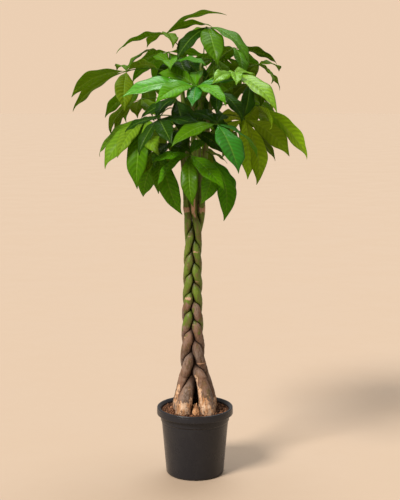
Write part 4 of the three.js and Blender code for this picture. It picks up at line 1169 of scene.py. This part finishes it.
def stem_face(index, height, angle):
    """The face of a trunk's straight-sided section in one direction, a seat's gap away."""
    levels = stem_heights(index)
    above = max(1, next((i for i, level in enumerate(levels) if level >= height), -1))
    share = (height - levels[above - 1]) / (levels[above] - levels[above - 1])
    lower, upper = stem_section(index, [levels[above - 1], levels[above]])
    ring = mix(lower, upper, share)
    centre = ring.sum(0) / len(ring)
    way = np.array([math.cos(angle), math.sin(angle), 0])
    reach = 0
    for k, a in enumerate(ring):
        edge = ring[(k + 1) % len(ring)] - a
        across = way[0] * edge[1] - way[1] * edge[0]
        to_a = a - centre
        distance = (to_a[0] * edge[1] - to_a[1] * edge[0]) / across
        where = (to_a[0] * way[1] - to_a[1] * way[0]) / across
        if distance > 0 and 0 <= where <= 1:
            reach = distance
    return centre + way * (reach + PETIOLE.seat_gap)


def petiole_curve(leaf, side_bow):
    """A petiole leaves its trunk steeper than the straight line to the hub and arrives flatter."""
    index, height = leaf["from"]
    hub = leaf["hub"]
    x, y = (float(value) for value in stem_centre(index, height))
    angle = math.atan2(hub[1] - y, hub[0] - x)
    seat = stem_face(index, height, angle)
    span = hub - seat
    length = math.sqrt(float(span @ span))
    rise = math.asin(span[2] / length)
    steep = min(rise + math.radians(PETIOLE.bow), math.radians(PETIOLE.steepest))
    flat = rise - math.radians(PETIOLE.bow)
    side = np.array([-math.sin(angle), math.cos(angle), 0]) * side_bow

    def way(tilt):
        return np.array([math.cos(angle) * math.cos(tilt), math.sin(angle) * math.cos(tilt), math.sin(tilt)])

    reach = PETIOLE.reach * length
    return [seat, seat + way(steep) * reach + side, hub - way(flat) * reach + side, hub]


def palm_normal(hub, faces):
    """The way a leaf's upper side faces: up and out of the crown, unless the leaf has turned."""
    if faces:
        return unit(np.array(faces, float))
    outward = unit(np.array([hub[0], hub[1], 0.0])) * OUTWARD_LEAN
    return unit(outward + (0, 0, 1))


def leaflet_rows(hub, size):
    """Leaflets spread evenly round the way a leaf leans."""
    outward = math.degrees(math.atan2(hub[1], hub[0]))
    rows = []
    for turn in SPREAD:
        facing = math.cos(math.radians(turn))
        dip, share = (middle + gain * facing for middle, gain in (SPREAD_DIP, SPREAD_SIZE))
        rows.append((outward + turn, dip, size * share))
    return rows


def outline(u):
    """Half the leaflet's width along its length, from 0 to 1: a short stalk, a wedge, a drawn-out tip."""
    blade = np.maximum(0, (u - STALK_SHARE) / (1 - STALK_SHARE))
    body = np.maximum(0, np.sin(np.pi * blade ** BLADE.wedge)) ** BLADE.fullness
    return body * (1 - BLADE.tip_loss * smooth(BLADE.tip_from, 1, u))


class Leaflet:
    """An arc of even bend from the hub to the tip, which carries the blade's width, wave and twist."""

    def __init__(self, leaf, spec, bend):
        swing, lift, shrink = bend
        chord = heading(spec["bearing"] + swing, spec["dip"] + lift)
        normal = unit(leaf["normal"] - chord * float(leaf["normal"] @ chord))
        half = math.radians(spec["curve"]) / 2
        self.hub = leaf["hub"]
        self.forward = chord * math.cos(half) + normal * math.sin(half)
        self.upward = normal * math.cos(half) - chord * math.sin(half)
        self.side = np.cross(self.forward, self.upward)
        self.length = spec["length"] * shrink * half / math.sin(half)
        self.width = spec["width"] * shrink
        self.curve = 2 * half
        self.curl, self.twist, self.phase = spec["curl"], spec["twist"], spec["phase"]

    def lean(self, u):
        """Unit vectors square to the midrib along it: across the blade and up from it."""
        turn, twist = self.curve * u, self.twist * u
        bent = self.forward * np.sin(turn)[..., None] + self.upward * np.cos(turn)[..., None]
        across = self.side * np.cos(twist)[..., None] + bent * np.sin(twist)[..., None]
        up = bent * np.cos(twist)[..., None] - self.side * np.sin(twist)[..., None]
        return across, up

    def points(self, u, v, lift=0.0, hook=0.0):
        """Points of the blade: u runs from hub to tip, v from one edge (-1) to the other (1)."""
        u, v = np.broadcast_arrays(np.asarray(u, float), np.asarray(v, float))
        turn = self.curve * u
        radius = self.length / self.curve
        across, up = self.lean(u)
        half = 0.5 * self.width * outline(u) + mix(*BLADE.least_half, u)
        fold = math.radians(BLADE.fold)
        ripple = np.sin(2 * np.pi * BLADE.waves * u + self.phase)
        wave = BLADE.wave * outline(u) * v * np.abs(v) * ripple
        rise = half * (np.abs(v) * math.sin(fold) - v * v * BLADE.arch) + wave
        rise = rise - hook * np.maximum(0, (u - BLADE.hook_from) / (1 - BLADE.hook_from)) ** 2
        return (self.hub + self.forward * (radius * np.sin(turn))[..., None]
                - self.upward * (radius * (1 - np.cos(turn)))[..., None]
                + self.side * (self.curl * self.length * u ** 3)[..., None]
                + across * (v * half * math.cos(fold))[..., None] + up * (rise + lift)[..., None])


class Space:
    """Sample points of something that grows, with the ball round them."""

    def __init__(self, points, owner, near_hub=0, radius=0.0):
        self.points = points
        self.owner = owner
        self.near_hub = near_hub
        self.radius = radius
        self.middle = points.mean(0)
        self.reach = float(np.linalg.norm(points - self.middle, axis=1).max())


def blade_space(leaflet, owner):
    u = np.arange(1, SAMPLES.along + 1)[:, None] / SAMPLES.along
    v = 2 * np.arange(SAMPLES.across)[None, :] / (SAMPLES.across - 1) - 1
    near_hub = math.floor(HUB_SHARE * SAMPLES.along) * SAMPLES.across
    return Space(leaflet.points(u, v).reshape(-1, 3), owner, near_hub)


def petiole_space(curve, owner):
    t = np.arange(1, SAMPLES.petiole + 1) / SAMPLES.petiole
    return Space(bezier(curve, t), owner, radius=PETIOLE.thickest)


def stem_space(index):
    height = np.arange(SHOOT.start, STEMS[index][3][2] + 1, SHOOT.step)
    x, y = stem_centre(index, height)
    radius = float(look_up(STEM_RADIUS, SHOOT.middle))
    return Space(np.stack([x, y, height], -1), f"stem {index}", radius=radius)


def is_clear(space, others):
    """Leaflets of one leaf may lie close near their hub; everything else keeps its distance."""
    for other in others:
        same = other.owner == space.owner
        if same and other.radius > 0:
            continue
        tube_radius = other.radius + space.radius
        need = tube_radius + TUBE_CLEARANCE if tube_radius > 0 else CLEARANCE
        if np.linalg.norm(space.middle - other.middle) > space.reach + other.reach + need:
            continue
        a = space.points[space.near_hub if same else 0:]
        b = other.points[other.near_hub if same else 0:]
        a = a[np.linalg.norm(a - other.middle, axis=1) < other.reach + need]
        if len(a) and (((a[:, None] - b[None]) ** 2).sum(-1)).min() < need * need:
            return False
    return True


def bends():
    """Ways to swing and lift a leaflet, the least first, then the same for a smaller one."""
    ways = []
    for shrink in SHRINKS:
        ways.append((0, 0, shrink))
        for size in BEND_SIZES:
            for k in range(BEND_DIRECTIONS):
                way = 2 * math.pi * k / BEND_DIRECTIONS
                ways.append((size * math.cos(way), size * math.sin(way), shrink))
    return ways


def leaflet_specs(rows, draw):
    """Adds a drawn width, bend, curl, twist and wave to each leaflet's bearing, dip and length."""
    (least_width, width_range), (least_bend, bend_range) = VARIETY.width, VARIETY.bend
    specs = []
    for bearing, dip, length, *share in rows:
        width = length * (share[0] if share else BLADE.width_share)
        specs.append({
            "bearing": bearing, "dip": dip, "length": length,
            "width": width * (least_width + width_range * next(draw)),
            "curve": BLADE.bend * (least_bend + bend_range * next(draw)),
            "curl": VARIETY.curl * (2 * next(draw) - 1),
            "twist": VARIETY.twist * (2 * next(draw) - 1),
            "phase": 2 * math.pi * next(draw),
        })
    return specs


def grow_petiole(leaf, others):
    """The least bowed petiole that passes the other trunks and petioles."""
    ways = [petiole_curve(leaf, bow) for bow in PETIOLE_BOWS]
    apart = [other for other in others if other.owner != f"stem {leaf['from'][0]}"]
    return next((way for way in ways if is_clear(petiole_space(way, leaf["name"]), apart)), ways[0])


def grow_leaflet(leaf, spec, others):
    """The least bent way for a leaflet to grow clear, or none if it finds no room."""
    for bend in bends():
        leaflet = Leaflet(leaf, spec, bend)
        space = blade_space(leaflet, leaf["name"])
        if is_clear(space, others):
            others.append(space)
            return [leaflet]
    return []


def grow_leaves():
    """Every leaf with its petiole's curve and its leaflets, as the solids have them."""
    draw = make_draw(SEED)
    others = [stem_space(index) for index in range(len(STEMS))]
    leaves = []
    for name, source, hub, faces, tone, rows in LEAVES:
        rows = rows if isinstance(rows, list) else leaflet_rows(hub, rows)
        leaves.append({"name": name, "from": source, "hub": np.array(hub, float), "tone": tone,
                       "normal": palm_normal(hub, faces), "specs": leaflet_specs(rows, draw)})
    for leaf in leaves:
        leaf["petiole"] = grow_petiole(leaf, others)
        others.append(petiole_space(leaf["petiole"], leaf["name"]))
    for leaf in leaves:
        leaf["leaflets"] = [found for spec in leaf["specs"] for found in grow_leaflet(leaf, spec, others)]
    return leaves


# ------------------------------------------------------------------ leaf pieces

ACROSS = np.array([-1, -0.86, -0.64, -0.4, -0.18, -0.06, 0, 0.06, 0.18, 0.4, 0.64, 0.86, 1])
# The power by which rows crowd towards the hub.
ROW_CROWDING = 1.02
# The midrib: its width, how far it sinks into the upper face and stands out of the lower one, and the
# share of it that is lost on the way to the tip.
RIB = Named(width=0.09, above=0.35, below=0.75, fade=0.6)
# Half the thickness that a leaflet's short stalk adds to its blade.
STALK_HALF = 0.75
# A stalk and a knuckle have no place on a blade, so they take one halfway out on its upper side.
PLAIN_BLADE = (0.5, 0.5, 1.0)


def quilt(u, v, pairs):
    """Swell of the blade between its side veins, from 0 on a vein to 1 between two."""
    count = u * pairs - VEIN_SLANT * np.abs(v) ** VEIN_CURVE
    from_vein = np.abs((count + 0.5) % 1 - 0.5) * 2
    return np.sin(np.pi / 2 * from_vein) * smooth(1.0, 0.7, np.abs(v)) * smooth(0.0, 0.16, np.abs(v))


def blade_skin(skin, leaflet, tint, hook, settings):
    """A leaflet's blade: a thin closed skin with quilted faces and a round stalk and midrib."""
    u = np.linspace(0, 1, settings.rows)[:, None] ** ROW_CROWDING
    v = ACROSS[None, :]
    half = settings.thickness / MM / 2
    stalk = STALK_HALF * (1 - smooth(0.03, 0.12, u)) * np.sqrt(np.clip(1 - v * v, 0, 1))
    edge = mix(1.0, 0.5, smooth(0.85, 1.0, np.abs(v)))
    rib = np.exp(-(v / RIB.width) ** 2) * (1 - RIB.fade * u)
    begun = smooth(0.05, 0.15, u)
    swell = settings.quilt / MM * quilt(u, v, settings.vein_pairs) * outline(u)
    top = leaflet.points(u, v, half * edge + stalk + swell - RIB.above * rib * begun, hook)
    under = leaflet.points(u, v, -half * edge - stalk + swell - RIB.below * rib * begun, hook)
    rings = np.concatenate([under[:, ::-1], top], 1)
    rows, sides = rings.shape[:2]
    strip = np.arange(len(ACROSS) - 1)
    last = (rows - 1) * sides
    base = np.stack([strip, sides - 1 - strip, sides - 2 - strip, strip + 1], -1)
    end = np.stack([last + strip, last + strip + 1, last + sides - 2 - strip, last + sides - 1 - strip], -1)
    upper = np.repeat([0.0, 1.0], len(ACROSS))
    across = np.concatenate([ACROSS[::-1], ACROSS])
    blade = np.stack(np.broadcast_arrays(u, across, upper), -1).reshape(-1, 3)
    skin.add(rings, [round_faces(rows, sides), base, end], blade=blade, tint=tint)


def petiole_skin(skin, curve, tint):
    """The stalk of a leaf, swollen where it joins the trunk and where it carries the leaflets."""
    t = np.linspace(0, 1, PETIOLE.rings)
    path = bezier(curve, t)
    length = np.linalg.norm(np.diff(path, axis=0), axis=1).sum()
    path[0] -= PETIOLE.sunk * unit(path[1] - path[0])
    radius = mix(*PETIOLE.radius, t)
    for swelling, share in zip(PETIOLE.swelling, (t, 1 - t)):
        radius = radius + swelling * np.exp(-(share * length / PETIOLE.swelling_length) ** 2)
    skin.add(*tube(rings_along(path, radius, PETIOLE.sides)), blade=PLAIN_BLADE, tint=tint)


def knuckle_skin(skin, hub, tint):
    """The knuckle that the leaflets meet in."""
    tilt = np.linspace(KNUCKLE.pole, math.pi - KNUCKLE.pole, KNUCKLE.rings)[:, None]
    radius = KNUCKLE.radius
    rings = around(0, 0, radius * np.sin(tilt), round_angles(KNUCKLE.sides),
                   -KNUCKLE.flatness * radius * np.cos(tilt))
    skin.add(*tube(rings + hub), blade=PLAIN_BLADE, tint=tint)


def tinted(colour, random, spread):
    """A colour with its own small change of brightness and of yellow."""
    bright = math.exp(random.normal(0, spread))
    yellow = math.exp(random.normal(0, spread))
    return colour[0] * bright * yellow, colour[1] * bright, colour[2] * bright / yellow


def leaf_piece(leaf, number, material, settings):
    """One leaf's stalk, knuckle and leaflets, each leaflet with its own tint and shine."""
    random = np.random.default_rng(SEED + 100 + number)
    skin = Skin("blade", "tint")
    stalk = (*tinted(settings.stalk, random, 0.1), 0.3)
    petiole_skin(skin, leaf["petiole"], stalk)
    knuckle_skin(skin, leaf["hub"], stalk)
    tones = LEAFLET_TONES.get(leaf["name"], {})
    for place_in_leaf, leaflet in enumerate(leaf["leaflets"]):
        tone = tones.get(place_in_leaf, leaf["tone"])
        tint = tinted(getattr(settings, tone), random, 0.13)
        gloss = GLOSS[tone] * random.uniform(0.7, 1.3)
        blade_skin(skin, leaflet, (*tint, gloss), random.uniform(1, 10), settings)
    return skin.build(f"foliage_{leaf['name']}", material)


# ------------------------------------------------------------------ operators

# How far, in metres, a leaf's box may lie off its solid's: room for quilting and hooked tips.
LEAF_TOLERANCE = 0.012
# Each light's bearing, height and softness in degrees, and its colour.
LIGHTS = {"key": (-133, 44, 18, (1.0, 0.95, 0.88)), "window": (78, 66, 40, (0.95, 0.98, 1.0))}
SENSOR_WIDTH = 36
FLOOR = Named(radius=60.0, sides=96)


class MONEYTREE_OT_pot(Operator):
    """Makes the nursery pot with its rolled rim, collar and drainage notches"""
    bl_idname = "money_tree.pot"
    bl_label = "Nursery Pot"

    def execute(self, context):
        settings = context.scene.money_tree_pot
        piece = pot_skin(settings).build("nursery_pot", plastic_material(settings))
        finished(piece, "pot")
        return {"FINISHED"}


class MONEYTREE_OT_soil(Operator):
    """Makes the potting mix with its loose crumbs"""
    bl_idname = "money_tree.soil"
    bl_label = "Potting Mix"

    def execute(self, context):
        settings = context.scene.money_tree_soil
        skin = Skin("tone")
        soil_bed(skin)
        soil_crumbs(skin, settings)
        finished(skin.build("potting_mix", soil_material(settings)), "soil")
        return {"FINISHED"}


class MONEYTREE_OT_trunks(Operator):
    """Makes the five braided trunks and the dried root between them"""
    bl_idname = "money_tree.trunks"
    bl_label = "Braided Trunks"

    def execute(self, context):
        settings = context.scene.money_tree_trunk
        bark = bark_material(settings)
        for index, (name, _, _, _) in enumerate(STEMS):
            piece = trunk_skin(index, settings).build(f"trunk_{name}", bark)
            finished(piece, f"stem_{name}")
        finished(stub_skin().build("dried_root", husk_material(settings)), "dried_stub")
        return {"FINISHED"}


class MONEYTREE_OT_leaves(Operator):
    """Makes every palmate leaf with its petiole, hub and leaflets"""
    bl_idname = "money_tree.leaves"
    bl_label = "Leaves"

    def execute(self, context):
        settings = context.scene.money_tree_leaf
        material = leaf_material(settings)
        for number, leaf in enumerate(grow_leaves()):
            piece = leaf_piece(leaf, number, material, settings)
            node = f"leaf_{leaf['name']}"
            self.compare(piece, node)
            finished(piece, node)
        return {"FINISHED"}

    def compare(self, piece, node):
        """Stops if a finer leaf doesn't fill the same box as its solid."""
        low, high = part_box(node)
        corners = np.array([corner[:] for corner in piece.bound_box])
        off = max(np.abs(corners.min(0) - low).max(), np.abs(corners.max(0) - high).max())
        if off > LEAF_TOLERANCE:
            raise RuntimeError(f"{piece.name} is {off:.4f} m off {node}")


def distant_light(name, strength, bearing, height, softness, colour):
    """A wide, even light from one side: bearing and height say where it comes from, in degrees."""
    light = bpy.data.lights.new(name, "SUN")
    light.angle = math.radians(softness)
    light.energy = strength
    light.color = colour
    lamp = bpy.data.objects.new(name, light)
    lamp.rotation_euler = (math.radians(90 - height), 0, math.radians(bearing + 90))
    bpy.context.scene.collection.objects.link(lamp)


def surround(settings):
    """A pale backdrop, and a dimmer soft light that comes from all round."""
    world = bpy.data.worlds.new("surround")
    world.use_nodes = True
    tree = world.node_tree
    soft = tree.nodes["Background"]
    give(tree, soft, Color=tuple(settings.surround))
    seen = place(tree, "ShaderNodeBackground", Color=tuple(settings.backdrop), Strength=1.0).outputs[0]
    looks = place(tree, "ShaderNodeLightPath").outputs["Is Camera Ray"]
    both = place(tree, "ShaderNodeMixShader", values=(looks, soft.outputs[0], seen))
    tree.links.new(both.outputs[0], tree.nodes["World Output"].inputs["Surface"])
    bpy.context.scene.world = world


def floor_piece(settings):
    """A wide pale floor with faint clouds."""
    points = around(0, 0, FLOOR.radius, round_angles(FLOOR.sides), 0)
    mesh = bpy.data.meshes.new("floor")
    mesh.from_pydata(points.tolist(), [], [list(range(FLOOR.sides))])
    material, tree, shader = new_material("pale_floor")
    cloudy = mottle(tree, PATCHES.floor_clouds)
    colour = layered(tree, tuple(settings.floor), (cloudy, 0.12, COLOURS.floor_cloud))
    give(tree, shader, Base_Color=colour, Roughness=ramp(tree, cloudy, 0, 1, 0.7, 0.85))
    mesh.materials.append(material)
    floor = bpy.data.objects.new("floor", mesh)
    bpy.context.scene.collection.objects.link(floor)


class MONEYTREE_OT_stage(Operator):
    """Sets up the floor, the soft studio light and the camera"""
    bl_idname = "money_tree.stage"
    bl_label = "Stage"

    def execute(self, context):
        scene = context.scene
        settings = scene.money_tree_stage
        floor_piece(settings)
        surround(settings)
        for name, light in LIGHTS.items():
            distant_light(name, getattr(settings, f"{name}_strength"), *light)
        scene.view_settings.view_transform = "Standard"
        camera = bpy.data.cameras.new("camera")
        camera.lens = settings.lens
        camera.sensor_width = SENSOR_WIDTH
        viewer = bpy.data.objects.new("camera", camera)
        viewer.location = settings.camera_place
        viewer.rotation_euler = (math.pi / 2 - settings.camera_pitch, 0, 0)
        scene.collection.objects.link(viewer)
        scene.camera = viewer
        return {"FINISHED"}


class MONEYTREE_PT_sidebar(Panel):
    """Lists the settings and the makers of every piece"""
    bl_idname = "MONEYTREE_PT_sidebar"
    bl_label = "Money Tree"
    bl_space_type = "VIEW_3D"
    bl_region_type = "UI"
    bl_category = "Money Tree"

    def draw(self, context):
        for maker, holder in MAKERS:
            box = self.layout.box()
            box.operator(maker.bl_idname)
            settings = getattr(context.scene, holder)
            for key in settings.__annotations__:
                box.prop(settings, key)


SETTINGS = {
    "money_tree_pot": PotSettings,
    "money_tree_soil": SoilSettings,
    "money_tree_trunk": TrunkSettings,
    "money_tree_leaf": LeafSettings,
    "money_tree_stage": StageSettings,
}
MAKERS = [
    (MONEYTREE_OT_stage, "money_tree_stage"),
    (MONEYTREE_OT_pot, "money_tree_pot"),
    (MONEYTREE_OT_soil, "money_tree_soil"),
    (MONEYTREE_OT_trunks, "money_tree_trunk"),
    (MONEYTREE_OT_leaves, "money_tree_leaf"),
]
CLASSES = [*SETTINGS.values(), *(maker for maker, _ in MAKERS), MONEYTREE_PT_sidebar]


def register():
    for listed in CLASSES:
        bpy.utils.register_class(listed)
    for holder, group in SETTINGS.items():
        setattr(bpy.types.Scene, holder, PointerProperty(type=group))


def unregister():
    for holder in SETTINGS:
        delattr(bpy.types.Scene, holder)
    for listed in reversed(CLASSES):
        bpy.utils.unregister_class(listed)


def main():
    register()
    bpy.ops.money_tree.stage()
    bpy.ops.money_tree.pot()
    bpy.ops.money_tree.soil()
    bpy.ops.money_tree.trunks()
    bpy.ops.money_tree.leaves()
    bpy.context.view_layer.update()


if __name__ == "__main__":
    main()
